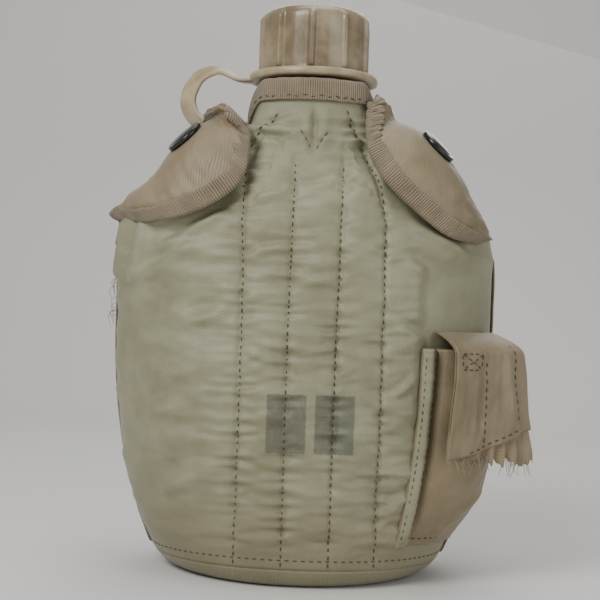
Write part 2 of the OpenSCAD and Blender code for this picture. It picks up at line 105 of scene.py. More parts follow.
def body(a, z):
    """The bottle's outline at angle a in degrees and height z: a superellipse whose sides sweep back."""
    a = np.radians(a)
    taper = np.clip((BELLY_Z - z) / (BELLY_Z - BASE_Z), 0.0, 1.0) ** 2.6
    up = np.clip(EDGE_R - (z - BASE_Z), 0.0, EDGE_R)
    inset = EDGE_R - np.sqrt(np.maximum(EDGE_R**2 - up * up, 0.0))
    width = mix(NECK_D, BOTTLE_W, shoulder(z, 3.6)) - TAPER_W * taper - 2.0 * inset
    depth = mix(NECK_D, BOTTLE_D, shoulder(z, 2.6)) - TAPER_D * taper - 2.0 * inset
    e = 2.0 / mix(2.0, SQUARENESS, shoulder(z, 3.0))
    cx = signed_power(np.cos(a), e)
    sy = signed_power(np.sin(a), e)
    sweep = HIP_SWEEP * shoulder(z, 2.0) * (cx * cx - 1.0 / 3.0)
    return np.stack([width / 2.0 * cx, depth / 2.0 * sy + sweep, z + 0.0 * a], -1)


def outward(a, z):
    """The direction out of the surface: the cross product of its two tangents."""
    low = np.maximum(z - 0.15, BASE_Z)
    n = unit(np.cross(body(a + 0.5, z) - body(a - 0.5, z), body(a, low + 0.3) - body(a, low)))
    return np.where((z <= BASE_Z + 0.01)[..., None], np.array([0.0, 0.0, -1.0]), n)


def cover(a, z, t, bridged=0.85):
    """A point t outside the bottle, further out round the neck.

    Where the shoulder meets the neck the offset turns toward level by the share bridged, as cloth does over a
    hollow corner.
    """
    a, z, t = np.broadcast_arrays(np.asarray(a, float), np.asarray(z, float), np.asarray(t, float))
    ease = np.where(t > 0.0, NECK_EASE * smooth((z - NECK_Z + 12.0) / 12.0), 0.0)
    level = np.stack([np.cos(np.radians(a)), np.sin(np.radians(a)), 0.0 * a], -1)
    share = bridged * smooth((z - BRIDGE_Z) / BRIDGE_RISE)[..., None]
    away = unit(mix(outward(a, z), level, share))
    return body(a, z) + (t + ease)[..., None] * away


def top_z(a):
    """The walls' top edge: full height before and behind the neck, low at the sides."""
    return mix(COVER_TOP_Z, SIDE_TOP_Z, smooth((np.abs(np.abs(np.mod(a, 180.0)) - 90.0) - 40.0) / 40.0))


# ---------------------------------------------------------------- meshes
def grid_faces(nu, nv, wrap_u=False, wrap_v=False):
    """Quads of a grid of nu by nv points, row by row, joined round in u or v if asked."""
    i = np.arange(nu if wrap_u else nu - 1)
    j = np.arange(nv if wrap_v else nv - 1)
    i, j = np.meshgrid(i, j, indexing="ij")
    i1 = (i + 1) % nu
    j1 = (j + 1) % nv
    return np.stack([i * nv + j, i1 * nv + j, i1 * nv + j1, i * nv + j1], -1).reshape(-1, 4)


def run_lengths(points, axis):
    """Distance run along one axis of a grid of points, averaged over the other, in millimetres."""
    steps = np.linalg.norm(np.diff(points, axis=axis), axis=-1).mean(axis=1 - axis)
    return np.concatenate([[0.0], np.cumsum(steps)])


def make_mesh(name, points, faces, uv=None):
    """A mesh object from points in millimetres and faces, with an optional UV per point."""
    mesh = bpy.data.meshes.new(name)
    mesh.from_pydata((points.reshape(-1, 3) * MM).tolist(), [], [tuple(f) for f in faces])
    if uv is not None:
        layer = mesh.uv_layers.new(name="UVMap")
        index = np.empty(len(mesh.loops), dtype=np.int32)
        mesh.loops.foreach_get("vertex_index", index)
        layer.data.foreach_set("uv", uv.reshape(-1, 2)[index].astype(np.float32).ravel())
    mesh.polygons.foreach_set("use_smooth", np.full(len(mesh.polygons), True))
    mesh.validate()
    obj = bpy.data.objects.new(name, mesh)
    bpy.context.scene.collection.objects.link(obj)
    return obj


def slab(name, outer, inner):
    """A thick sheet between two grids of one shape, closed round its edges. UVs run in millimetres."""
    nu, nv = outer.shape[:2]
    ring = np.concatenate([outer, inner[:, ::-1]], axis=1)
    faces = grid_faces(nu, 2 * nv, wrap_v=True)
    ends = []
    for row, flip in ((0, False), (nu - 1, True)):
        base = row * 2 * nv
        for j in range(nv - 1):
            quad = [base + j, base + j + 1, base + 2 * nv - 2 - j, base + 2 * nv - 1 - j]
            ends.append(quad[::-1] if flip else quad)
    u = run_lengths(outer, 0)
    v = run_lengths(outer, 1)
    both = np.concatenate([v, v[::-1]])
    uv = np.stack(np.broadcast_arrays(u[:, None], both[None, :]), -1)
    return make_mesh(name, ring, faces.tolist() + ends, uv)


def normals_of(points):
    """Unit normals of a grid, from central differences along its two axes."""
    du = np.gradient(points, axis=0)
    dv = np.gradient(points, axis=1)
    return unit(np.cross(du, dv))


def thick(name, middle, thickness, soft_edge=0.5):
    """A sheet of cloth about a middle surface, its thickness dying to a rounded edge over soft_edge mm."""
    n = normals_of(middle)
    u = run_lengths(middle, 0)[:, None]
    v = run_lengths(middle, 1)[None, :]
    inset = np.minimum(np.minimum(u, u[-1] - u), np.minimum(v, v[0, -1] - v))
    k = np.clip(inset / soft_edge, 0.0, 1.0)
    half = thickness / 2.0 * np.sqrt(np.maximum(1.0 - (1.0 - k) ** 2, 0.0)) + 0.04
    return slab(name, middle + n * half[..., None], middle - n * half[..., None])


def tube(name, ring_points):
    """A surface through rings of points, shape (rings, points round, 3), capped at both ends."""
    n, m = ring_points.shape[:2]
    faces = grid_faces(n, m, wrap_v=True).tolist()
    faces.append(list(range(m))[::-1])
    faces.append([(n - 1) * m + k for k in range(m)])
    u = run_lengths(ring_points, 0)
    v = np.linspace(0.0, 1.0, m) * np.linalg.norm(np.diff(ring_points, axis=1), axis=-1).sum(1).mean()
    uv = np.stack(np.broadcast_arrays(u[:, None], v[None, :]), -1)
    return make_mesh(name, ring_points, faces, uv)


def lathe(name, profile, steps=96, place=None):
    """A profile of (radius, height) points turned about Z. A closed loop, or one that ends on the axis."""
    a = np.linspace(0.0, 2.0 * np.pi, steps, endpoint=False)[:, None]
    r = np.array([p[0] for p in profile])[None, :]
    z = np.array([p[1] for p in profile])[None, :]
    points = np.stack([r * np.cos(a), r * np.sin(a), z + 0.0 * a], -1)
    if place is not None:
        points = points @ place[:3, :3].T + place[:3, 3]
    faces = grid_faces(steps, len(profile), wrap_u=True, wrap_v=True)
    obj = make_mesh(name, points, faces.tolist())
    tidy(obj)
    return obj


def tidy(obj, distance=0.00001):
    """Merges doubled points and turns the faces outward."""
    bm = bmesh.new()
    bm.from_mesh(obj.data)
    bmesh.ops.remove_doubles(bm, verts=bm.verts, dist=distance)
    bmesh.ops.dissolve_degenerate(bm, edges=bm.edges, dist=distance / 10.0)
    bmesh.ops.recalc_face_normals(bm, faces=bm.faces)
    bm.to_mesh(obj.data)
    bm.free()


def curve_at(p, k):
    """The Catmull-Rom curve through p but its end points, at k: 0 is the second point, 1 the third."""
    i = np.minimum(k.astype(int), len(p) - 4)
    f = (k - i)[:, None]
    p0, p1, p2, p3 = p[i], p[i + 1], p[i + 2], p[i + 3]
    return 0.5 * (2 * p1 + (p2 - p0) * f + (2 * p0 - 5 * p1 + 4 * p2 - p3) * f**2
                  + (3 * p1 - p0 - 3 * p2 + p3) * f**3)


def through(points, n):
    """n points evenly along a smooth curve through a list of points, its ends running on straight."""
    p = np.array(points, float)
    p = np.concatenate([[2 * p[0] - p[1]], p, [2 * p[-1] - p[-2]]])
    dense = curve_at(p, np.linspace(0.0, len(points) - 1.0, 40 * len(points)))
    s = np.concatenate([[0.0], np.cumsum(np.linalg.norm(np.diff(dense, axis=0), axis=1))])
    want = np.linspace(0.0, s[-1], n)
    return np.stack([np.interp(want, s, dense[:, c]) for c in range(3)], -1)


def across(curves, nv):
    """A surface through several curves of the same length, blended smoothly from the first to the last."""
    stack = np.stack(curves)
    rows = [through(stack[:, k], nv) for k in range(stack.shape[1])]
    return np.stack(rows)


def ripple(x, y, seed, scale, octaves=3):
    """Smooth noise: a sum of sine waves in seeded directions, each octave twice as fine and half as high."""
    rng = np.random.default_rng(seed)
    total = np.zeros(np.broadcast(x, y).shape)
    for octave in range(octaves):
        for _ in range(5):
            angle = rng.uniform(0, 2 * np.pi)
            phase = rng.uniform(0, 2 * np.pi)
            k = 2 * np.pi / scale * 2**octave * rng.uniform(0.7, 1.3)
            total += np.sin(k * (x * np.cos(angle) + y * np.sin(angle)) + phase) / 2**octave / 5
    return total


def fold(x, z, x0, z0, x1, z1, width, height):
    """A ridge, or a valley if height is negative, along a segment: Gaussian across and fading at its ends."""
    dx, dz = x1 - x0, z1 - z0
    length = math.hypot(dx, dz)
    along = ((x - x0) * dx + (z - z0) * dz) / length**2
    off = ((x - x0) * dz - (z - z0) * dx) / length
    fade = smooth(along / 0.25) * smooth((1.0 - along) / 0.25)
    return height * np.exp(-((off / width) ** 2)) * fade


def finish(obj, material, body_name, slot_name, *replaced):
    """Gives a piece its material, its body, and the CAD nodes it stands for; slot_name is not used."""
    obj.data.materials.clear()
    obj.data.materials.append(material)
    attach(obj, body_name)
    if replaced:
        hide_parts(*replaced)
    return obj


def joined(name, objects):
    """Several mesh objects as one."""
    bm = bmesh.new()
    for obj in objects:
        bm.from_mesh(obj.data)
    mesh = bpy.data.meshes.new(name)
    bm.to_mesh(mesh)
    bm.free()
    for obj in objects:
        bpy.data.objects.remove(obj)
    made = bpy.data.objects.new(name, mesh)
    bpy.context.scene.collection.objects.link(made)
    return made


def stitches(name, path, normals, pitch=3.1, length=2.3, radius=0.3, sink=0.1):
    """A row of thread stitches: spindles of six sides along a path, each lying on the cloth."""
    s = np.concatenate([[0.0], np.cumsum(np.linalg.norm(np.diff(path, axis=0), axis=1))])
    starts = np.arange(pitch / 2, s[-1] - pitch / 2, pitch)
    at = np.stack([np.interp(starts, s, path[:, c]) for c in range(3)], -1)
    ahead = np.stack([np.interp(starts + 0.5, s, path[:, c]) for c in range(3)], -1)
    n = unit(np.stack([np.interp(starts, s, normals[:, c]) for c in range(3)], -1))
    t = unit(ahead - at)
    b = np.cross(n, t)
    along = np.array([-0.5, -0.36, 0.0, 0.36, 0.5])
    girth = np.array([0.15, 0.75, 1.0, 0.75, 0.15])
    height = np.array([-0.9, -0.1, 0.25, -0.1, -0.9])
    turn = np.arange(6) * np.pi / 3
    centre = (at[:, None, :] + t[:, None, :] * (along * length)[None, :, None]
              + n[:, None, :] * (height * radius - sink)[None, :, None])
    spoke = (np.cos(turn)[:, None] * b[:, None, :] + np.sin(turn)[:, None] * n[:, None, :])
    points = centre[:, :, None, :] + spoke[:, None, :, :] * (girth * radius)[None, :, None, None]
    count = len(starts)
    quads = grid_faces(5, 6, wrap_v=True)
    faces = (quads[None] + (np.arange(count) * 30)[:, None, None]).reshape(-1, 4).tolist()
    for k in range(count):
        faces.append([k * 30 + c for c in range(6)][::-1])
        faces.append([k * 30 + 24 + c for c in range(6)])
    return make_mesh(name, points, faces)


def strand(name, points, radius, sides=6, n=24):
    """A thin round thread along a curve through points."""
    path = through(points, n)
    t = unit(np.gradient(path, axis=0))
    side = unit(np.cross(t, np.array([0.3, 0.5, 0.8])))
    up = np.cross(t, side)
    turn = np.arange(sides) * 2 * np.pi / sides
    r = radius * (1.0 - 0.6 * np.linspace(0, 1, n) ** 4)
    rings = path[:, None] + r[:, None, None] * (np.cos(turn)[None, :, None] * side[:, None]
                                                + np.sin(turn)[None, :, None] * up[:, None])
    obj = tube(name, rings)
    tidy(obj, 1e-7)
    return obj


# ---------------------------------------------------------------- places on the cover, seen from the front
def front_angle(x, z):
    """The front half's angle at which the cover is x mm right of the middle: the outline's formula inverted."""
    x, z = np.broadcast_arrays(np.asarray(x, float), np.asarray(z, float))
    reach = np.abs(cover(180.0, z, SHELL_OUT)[..., 0])
    e = 2.0 / mix(2.0, SQUARENESS, shoulder(z, 3.0))
    c = signed_power(np.clip(x / np.maximum(reach, 1.0), -1.0, 1.0), 1.0 / e)
    return 360.0 - np.degrees(np.arccos(c))


def on_front(x, z, t=0.0):
    """The point t mm above the shell's front that lies at x and z: foot points are stepped until it does."""
    foot_x = np.asarray(x, float) + 0.0
    foot_z = np.asarray(z, float) + 0.0
    point = None
    for _ in range(14):
        point = cover(front_angle(foot_x, foot_z), foot_z, SHELL_OUT + t)
        reach = np.abs(cover(180.0, foot_z, SHELL_OUT)[..., 0])
        foot_x = np.clip(foot_x + 0.7 * (x - point[..., 0]), -reach, reach)
        foot_z = foot_z + 0.7 * (z - point[..., 2])
    return point


# ---------------------------------------------------------------- the front panel's quilting
STITCH_TOP = 152.0
CHANNELS = [
    [(-22.5, 9.5), (-22.5, 90.0), (-23.0, 148.0), (-11.0, 174.0)],
    [(-5.5, 9.5), (-6.0, 90.0), (-5.5, STITCH_TOP)],
    [(11.5, 9.5), (11.5, 90.0), (12.0, STITCH_TOP)],
    [(28.0, 9.5), (28.0, 90.0), (27.5, 132.0), (21.0, 152.0), (12.0, 174.0)],
]
DRAG_FOLDS = [
    (-58, 128, -25, 143, 2.6, 1.5), (-54, 118, -27, 133, 2.2, 1.0), (-60, 108, -38, 122, 3.0, 0.9),
    (-50, 137, -30, 152, 2.0, 1.3), (-21, 158, -9, 156, 2.2, 1.2), (12, 160, 26, 157, 2.2, 1.0),
    (-44, 92, -26, 99, 3.2, 0.7), (34, 131, 58, 121, 2.6, 1.2), (33, 119, 60, 104, 2.6, 1.0),
    (36, 141, 52, 133, 2.0, 1.2), (31, 95, 47, 88, 2.4, 0.8), (-56, 60, -30, 70, 4.0, 0.8),
    (-50, 34, -26, 44, 4.0, 0.8), (-21, 118, -7, 121, 1.8, 0.6), (-4, 108, 10, 111, 1.8, 0.6),
    (13, 124, 26, 121, 1.8, 0.6), (-20, 84, -8, 82, 1.8, 0.5), (13, 66, 27, 63, 1.8, 0.5),
    (-4, 84, 10, 86, 1.6, 0.45), (31, 70, 38, 76, 2.0, 0.7), (30, 30, 40, 35, 2.4, 0.7),
    (-3, 140, 9, 143, 1.8, 0.7), (-20, 136, -8, 139, 1.8, 0.8), (14, 142, 22, 139, 1.8, 0.7),
]


def channel_offset(x, z):
    """Distance from the nearest channel seam, and which seam that is."""
    gaps = []
    for line in CHANNELS:
        xs = np.interp(z, [p[1] for p in line], [p[0] for p in line])
        gaps.append(np.abs(x - xs) + 0.8 * np.maximum(z - line[-1][1], 0.0))
    gaps = np.stack(gaps)
    return gaps.min(0), gaps.argmin(0)


def front_relief(a, z):
    """Height of the front panel above its shell: padded channels between sunk seams, puckers and drag folds."""
    x = cover(a, z, SHELL_OUT)[..., 0]
    d, which = channel_offset(x, z)
    side = smooth((a - 181.0) / 26.0) * smooth((359.0 - a) / 26.0)
    high = smooth((z - 9.0) / 14.0) * smooth((top_z(a) - 7.5 - z) / 8.0)
    open_field = smooth((d - 9.0) / 16.0)
    relief = 0.5 + 1.2 * (1.0 - np.exp(-((d / 4.0) ** 2))) + 1.0 * open_field
    pucker = 1.0 - 2.0 * np.abs(ripple(z * 1.1 + which * 37.0, x * 0.2 + 0.25 * d, 3, 10.0, 2))
    relief += 1.5 * pucker * np.exp(-d / 7.0) * (1.0 - 0.4 * open_field)
    relief += 0.9 * ripple(x, z * 1.3, 5, 48.0) + 0.9 * ripple(x * 0.4 + z * 0.35, z * 1.5, 6, 19.0)
    for x0, z0, x1, z1, width, height in DRAG_FOLDS:
        relief += fold(x, z, x0, z0, x1, z1, width * 0.75, height * 1.9)
        relief -= fold(x, z, x0 + 0.2 * width, z0 + 1.7 * width, x1, z1 + 1.6 * width,
                       width * 0.65, height * 1.1)
    pleat = smooth((z - 152.0) / 10.0)
    relief -= 1.9 * np.exp(-(((x - 0.8) / 1.1) ** 2)) * pleat
    relief += 1.3 * np.exp(-(((x + 2.6) / 2.2) ** 2)) * pleat + 0.9 * np.exp(-(((x - 4.4) / 2.0) ** 2)) * pleat
    for foot in (-1.0, 1.0):
        relief -= fold(x, z, 0.8, 154.0, 0.8 + foot * 5.0, 163.0, 0.8, 0.8)
    relief = np.maximum(relief, -0.1)
    under_pocket = smooth((x - 38.0) / 6.0) * smooth((122.0 - z) / 9.0)
    relief = mix(relief, 0.0, 0.95 * under_pocket)
    under_flap = smooth((np.abs(x) - 24.0) / 8.0) * smooth((z - 128.0) / 10.0)
    relief = mix(relief, 0.35 * relief, under_flap)
    dart = fold(x, z, -56.5, 134.0, -62.5, 104.0, 2.2, 2.6) + fold(x, z, -64.5, 134.0, -68.5, 106.0, 2.6, 2.4)
    return relief * side * high + dart * high - 1.1 * np.exp(-((d / 1.0) ** 2)) * high * side


def panel_angles(a0, a1, count, crowd):
    """Angles from a0 to a1, closer together where crowd says that seams are."""
    dense = np.linspace(a0, a1, 2400)
    weight = np.concatenate([[0.0], np.cumsum(crowd(dense))[:-1]])
    return np.interp(np.linspace(0.0, weight[-1], count), weight, dense)


def wall_grid(angles, rows, drop=0.0):
    """Angles and heights of a wall's grid, its rows running from the base seam to the top edge."""
    v = np.linspace(0.0, 1.0, rows)[None, :]
    a = angles[:, None]
    return np.broadcast_arrays(a, mix(BASE_SEAM_Z, top_z(a) - drop, v))


def front_panel():
    """The quilted front: the shell's offset plus the relief, with its inside kept clear of the lining."""
    def crowd(a):
        return 1.0 + 2.2 * np.exp(-((channel_offset(cover(a, 90.0, SHELL_OUT)[..., 0], 90.0)[0] / 2.0) ** 2))

    a, z = wall_grid(panel_angles(180.5, 359.5, 228, crowd), 214)
    rise = front_relief(a, z)
    outer = cover(a, z, SHELL_OUT + rise)
    inner = cover(a, z, np.maximum(SHELL_OUT + rise - 1.1, SHELL_IN))
    return slab("front_panel", outer, inner)


def back_relief(a, z):
    """Height of the back panel above its shell: vertical channels under the keepers and soft undulation."""
    x = cover(a, z, SHELL_OUT)[..., 0]
    d = np.abs(np.mod(x + 9.0, 18.0) - 9.0)
    side = smooth((a - 1.0) / 12.0) * smooth((179.0 - a) / 12.0)
    high = smooth((z - 9.0) / 14.0) * smooth((top_z(a) - 7.5 - z) / 8.0)
    flat = smooth((46.0 - np.abs(x)) / 6.0) * smooth((z - 84.0) / 6.0) * smooth((158.0 - z) / 6.0)
    relief = 0.3 + 1.0 * (1.0 - np.exp(-((d / 4.0) ** 2))) + 0.7 * ripple(x, z * 1.3, 15, 45.0)
    relief += ripple(z, x * 0.2, 13, 8.5, 2) * np.exp(-d / 4.0) * 0.8
    relief = np.maximum(relief, -0.1) * mix(1.0, 0.0, flat)
    return relief * side * high - 0.5 * np.exp(-((d / 0.85) ** 2)) * high * side * (1.0 - flat)


def back_panel():
    """The quilted back, worn against the hip."""
    a, z = wall_grid(np.linspace(0.5, 179.5, 190), 160)
    rise = back_relief(a, z)
    inner = cover(a, z, np.maximum(SHELL_OUT + rise - 1.1, SHELL_IN))
    return slab("back_panel", cover(a, z, SHELL_OUT + rise), inner)


def lining(name, a0, a1):
    """A wall of the pile lining, a little lumpy, between the shell and the bottle."""
    a, z = wall_grid(np.linspace(a0, a1, 90), 80, 4.0)
    lumps = 0.12 * ripple(a * 1.1, z, 8, 6.0)
    return slab(name, cover(a, z, LINING_OUT - 0.15 + lumps), cover(a, z, LINING_IN + 0.0 * lumps))


def dish(name, t_in, t_out, steps):
    """A base panel: the surface's rounded foot closed across the bottom, as a shell between two offsets."""
    a = np.linspace(0.0, 360.0, steps, endpoint=False)[:, None]
    rise = EDGE_R * (1.0 - np.cos(np.radians(np.linspace(0.0, 75.0, 14))))[None, :] + BASE_Z
    middle = np.array([0.0, -HIP_SWEEP / 3.0, 0.0])
    skins = []
    for t in (t_out, t_in):
        skirt = cover(a, rise, t)
        flat = skirt[:, :1] * np.array([1.0, 1.0, 0.0])
        flat[..., 2] = BASE_Z - t
        k = np.linspace(0.0, 1.0, 22)[None, :, None]
        floor = middle + (flat - middle) * k
        floor[..., 2] = BASE_Z - t
        skins.append(np.concatenate([floor[:, :-1], skirt], axis=1))
    ring = np.concatenate([skins[0], skins[1][:, ::-1]], axis=1)
    faces = grid_faces(steps, ring.shape[1], wrap_u=True)
    uv = ring[..., :2] + np.stack([0.0 * ring[..., 2], ring[..., 2]], -1)
    obj = make_mesh(name, ring, faces.tolist(), uv)
    tidy(obj)
    return obj


# ---------------------------------------------------------------- tape
def bound_edge(name, angles, section, thickness, crease=0.0):
    """Tape folded over a wall's top edge. The section lists (offset, height above the edge)."""
    line = through([(p[0], p[1], 0.0) for p in section], 30)[:, :2]
    run = unit(np.gradient(line, axis=0))
    normal = np.stack([run[:, 1], -run[:, 0]], -1)
    a = angles[:, None]
    skins = []
    for side in (0.5, -0.5):
        p = line + normal * thickness * side
        wave = crease * ripple(a * 0.9, 0.0 * a, 21, 14.0, 2)
        skins.append(cover(a, top_z(a) + p[None, :, 1] + wave * 0.6, p[None, :, 0] + wave))
    return slab(name, skins[0], skins[1])


def neck_binding(name, a0, a1):
    """The tape round the neck's opening, 7 mm deep outside and turned in over the top."""
    angles = np.linspace(a0, a1, 220)
    section = [(SHELL_OUT + 0.7, -7.0), (SHELL_OUT + 0.75, -3.0), (SHELL_OUT + 0.4, -0.2), (3.9, 0.85),
               (2.5, 0.2), (2.0, -1.5), (2.0, -3.6)]
    return bound_edge(name, angles, section, 0.9, 0.25)


def edge_stitches(name, angles, down, t, wave=0.3):
    """Stitches along a bound edge, wandering a little up and down."""
    z = top_z(angles) - down + wave * np.sin(angles * 0.6)
    path = cover(angles, z, t)
    return stitches(name, path, outward(angles, z))


def sewn_on_front(line, count, length, radius):
    """Stitches of one length and radius along a line of (x, z) points on the front panel's relief."""
    route = through([(x, z, 0.0) for x, z in line], count)
    z = route[:, 1]
    a = front_angle(route[:, 0], z)
    path = cover(a, z, SHELL_OUT + front_relief(a, z) + 0.15)
    return stitches("front_run", path, outward(a, z), 2.9, length, radius)


def seam_tape(name, a):
    """Tape over a side seam, its edges wandering by a fraction of a millimetre."""
    u = np.linspace(-1.0, 1.0, 16)[:, None]
    z = np.linspace(10.0, 121.6, 150)[None, :]
    wide = 2.5 + 0.22 * ripple(z, 0.0 * z, 31, 22.0, 2)
    angle = a + u * wide
    lift = 0.35 + 0.25 * ripple(z, u * 9.0, 33, 16.0, 2) * (1.0 - u * u)
    middle = cover(angle, z, SHELL_OUT + 0.75 + np.maximum(lift, 0.0))
    return thick(name, middle.transpose(1, 0, 2), 0.9, 0.6)


# ---------------------------------------------------------------- shoulder flaps
def bent_sheet(name, curves, nu, nv, thickness, wrinkle, seed, snap=None):
    """Cloth through several curves, creased by seeded noise and drawn up to a level seat round its snap.

    Within the seat's radius a point's height along the snap's axis becomes the seat's. The pull fades beyond it.
    """
    surface = across([through(c, nu) for c in curves], nv)
    n = normals_of(surface)
    u = run_lengths(surface, 0)[:, None]
    v = run_lengths(surface, 1)[None, :]
    surface = surface + n * (wrinkle * ripple(u, v, seed, 11.0))[..., None]
    if snap is not None:
        axis = snap[:3, 2]
        away = surface - snap[:3, 3]
        height = away @ axis
        r = np.linalg.norm(away - height[..., None] * axis, axis=-1)
        pull = 1.0 - smooth((r - SEAT_R) / SEAT_FADE)
        surface = surface - axis * (height * pull)[..., None]
    return surface, thick(name, surface, thickness, 0.7)


def band_along(surface, v0, v1, rows, lift, waves, seed):
    """A strip of a cloth surface from v0 to v1 of its width, raised by lift, with gathers along it."""
    k = np.linspace(v0, v1, rows) * (surface.shape[1] - 1)
    low = np.clip(k.astype(int), 0, surface.shape[1] - 2)
    f = (k - low)[None, :, None]
    strip = surface[:, low] * (1 - f) + surface[:, low + 1] * f
    n = normals_of(strip)
    u = run_lengths(strip, 0)[:, None]
    return strip + n * (lift + waves * ripple(u, 0.25 * np.arange(rows)[None, :], seed, 7.0, 2))[..., None]


# Each flap is drawn as curves from its outer end to its tip. Its seam is angles behind the ridge, heights and
# heights above the shell; the other curves are x, z and height above the shell.
LEFT_SEAM = [(176.0, 130.0, 0.9), (172.0, 137.0, 0.9), (170.0, 143.0, 0.9), (170.0, 149.0, 0.9),
             (172.0, 154.0, 1.2), (180.0, 158.0, 2.0), (200.0, 163.0, 4.5), (214.0, 168.0, 6.5)]
LEFT_CURVES = [
    [(-73.5, 136.5, 4.5), (-66.3, 140.7, 5.0), (-58.5, 145.4, 5.0), (-50.5, 150.6, 6.0), (-44.0, 156.4, 8.0),
     (-38.8, 162.0, 8.6), (-38.6, 168.5, 9.5), (-42.4, 171.5, 13.0)],
    [(-74.0, 135.0, 6.5), (-63.0, 137.6, 8.2), (-53.5, 141.2, 9.0), (-44.5, 146.0, 9.4), (-36.5, 152.0, 9.6),
     (-32.2, 160.0, 9.4), (-33.0, 169.5, 11.5), (-38.0, 174.2, 15.5)],
    [(-73.5, 133.6, 5.5), (-60.0, 134.0, 7.6), (-49.0, 136.5, 8.6), (-38.5, 141.0, 9.0), (-30.0, 147.5, 9.0),
     (-27.0, 157.0, 9.0), (-27.8, 167.0, 11.0), (-33.5, 173.2, 15.5)],
    [(-72.0, 132.6, 4.0), (-58.5, 131.0, 5.6), (-46.5, 132.8, 6.6), (-35.0, 137.5, 7.2), (-25.5, 145.5, 7.4),
     (-23.2, 156.0, 7.6), (-24.4, 164.5, 10.0), (-31.5, 169.4, 15.0)],
]
RIGHT_SEAM = [(4.0, 125.0, 0.9), (8.0, 132.0, 0.9), (10.0, 139.0, 0.9), (10.0, 146.0, 0.9), (8.0, 153.0, 1.4),
              (2.0, 159.0, 3.0), (-10.0, 166.0, 3.5), (-22.0, 173.0, 3.0)]
RIGHT_CURVES = [
    [(67.3, 130.8, 3.5), (62.6, 137.6, 4.5), (56.6, 146.6, 5.5), (50.5, 152.8, 6.5), (44.5, 158.2, 7.0),
     (36.5, 163.4, 6.5), (31.8, 169.5, 5.0), (28.6, 176.5, 3.0)],
    [(66.0, 129.3, 5.0), (58.5, 134.6, 7.5), (51.0, 141.8, 8.6), (44.5, 148.2, 8.4), (37.2, 154.6, 8.6),
     (31.0, 160.5, 8.2), (27.8, 168.5, 6.5), (26.4, 178.0, 4.0)],
    [(64.8, 128.3, 4.5), (55.0, 131.8, 7.0), (46.0, 137.8, 8.0), (38.0, 144.4, 8.4), (30.5, 151.6, 8.6),
     (25.6, 159.4, 8.2), (24.2, 168.5, 6.5), (24.0, 178.2, 4.0)],
    [(63.2, 127.6, 3.5), (51.5, 129.2, 5.5), (42.5, 134.6, 6.5), (34.5, 140.8, 7.0), (26.8, 148.6, 7.4),
     (21.6, 158.4, 7.2), (20.8, 168.0, 5.5), (21.4, 176.8, 3.5)],
]


def shoulder_flap(side, seam, curves, seed):
    """A flap of nylon over the shoulder, the ribbed tape folded round its rim and end, and their stitches."""
    a, z, t = np.array(seam).T
    lines = [cover(a, z, SHELL_OUT + t)] + [on_front(*np.array(c).T) for c in curves]
    surface, cloth = bent_sheet(side + "_flap", lines, 120, 60, 1.3, 0.5, seed, snap_place(side, 1.5))
    if side == "right":
        surface = surface[::-1]
        cloth.data.flip_normals()
    strip = band_along(surface, 0.58, 1.0, 34, 1.1, 0.1, seed + 1)
    rim = strip[:, -1]
    bow = unit(strip[:, -1] - strip[:, -4])
    down = -normals_of(surface)[:, -1]
    turn = np.linspace(0.0, np.pi, 9)[1:, None, None]
    radius = 1.05
    round_edge = rim + radius * (np.sin(turn) * bow + (1.0 - np.cos(turn)) * down)
    under = round_edge[-1] - bow * np.linspace(0.6, 5.5, 7)[:, None, None]
    wrap = np.concatenate([strip, np.moveaxis(round_edge, 0, 1), np.moveaxis(under, 0, 1)], axis=1)
    tape = thick(side + "_flap_rim", wrap, 0.8, 0.45)
    tip_rows = slice(-13, None) if side == "left" else slice(0, 13)
    end = surface[tip_rows, 16:]
    end = end + normals_of(end) * 1.5
    tip = thick(side + "_flap_end", end.transpose(1, 0, 2)[::-1], 0.8, 0.45)
    n = normals_of(strip)
    runs = []
    for row, pitch in ((2, 3.1), (-3, 3.4)):
        path = strip[2:-2, row] + n[2:-2, row] * 0.5
        runs.append(stitches(side + "_flap_stitches", path, n[2:-2, row], pitch))
    return cloth, joined(side + "_flap_tape", [tape, tip]), joined(side + "_flap_thread", runs)


# ---------------------------------------------------------------- snaps
SEAT_R = 6.5
SEAT_FADE = 17.0
FLAP_SEAM_A = 174.0
FLAP_REACH = 56.0
SNAP_U = 0.62
SNAP_V = 0.78


def flap_foot(u, v):
    """The angle and height under a point of the flap: a tongue from behind the shoulder's ridge."""
    tongue = np.sin(np.pi * (0.1 + 0.82 * u)) ** 0.6
    a = FLAP_SEAM_A + v * FLAP_REACH * tongue
    return a, mix(SIDE_TOP_Z - 14.0, SIDE_TOP_Z + 7.0, u) + v * u * 5.0


def flap_point(u, v, t):
    """The flap's design surface: the shell's offset over its foot, lifted more toward its tip."""
    return cover(*flap_foot(u, v), SHELL_OUT + 0.6 + 10.0 * v**1.5 + t, 0.0)


def stood(point, direction):
    """A 4 x 4 placing matrix with +Z along a direction."""
    w = unit(np.asarray(direction, float))
    u = unit(np.cross([0.0, 1.0, 0.0], w))
    place = np.eye(4)
    place[:3, :3] = np.stack([u, np.cross(w, u), w], axis=1)
    place[:3, 3] = point
    return place


SIDE_SIGN = {"left": np.array([1.0, 1.0, 1.0]), "right": np.array([-1.0, 1.0, 1.0])}


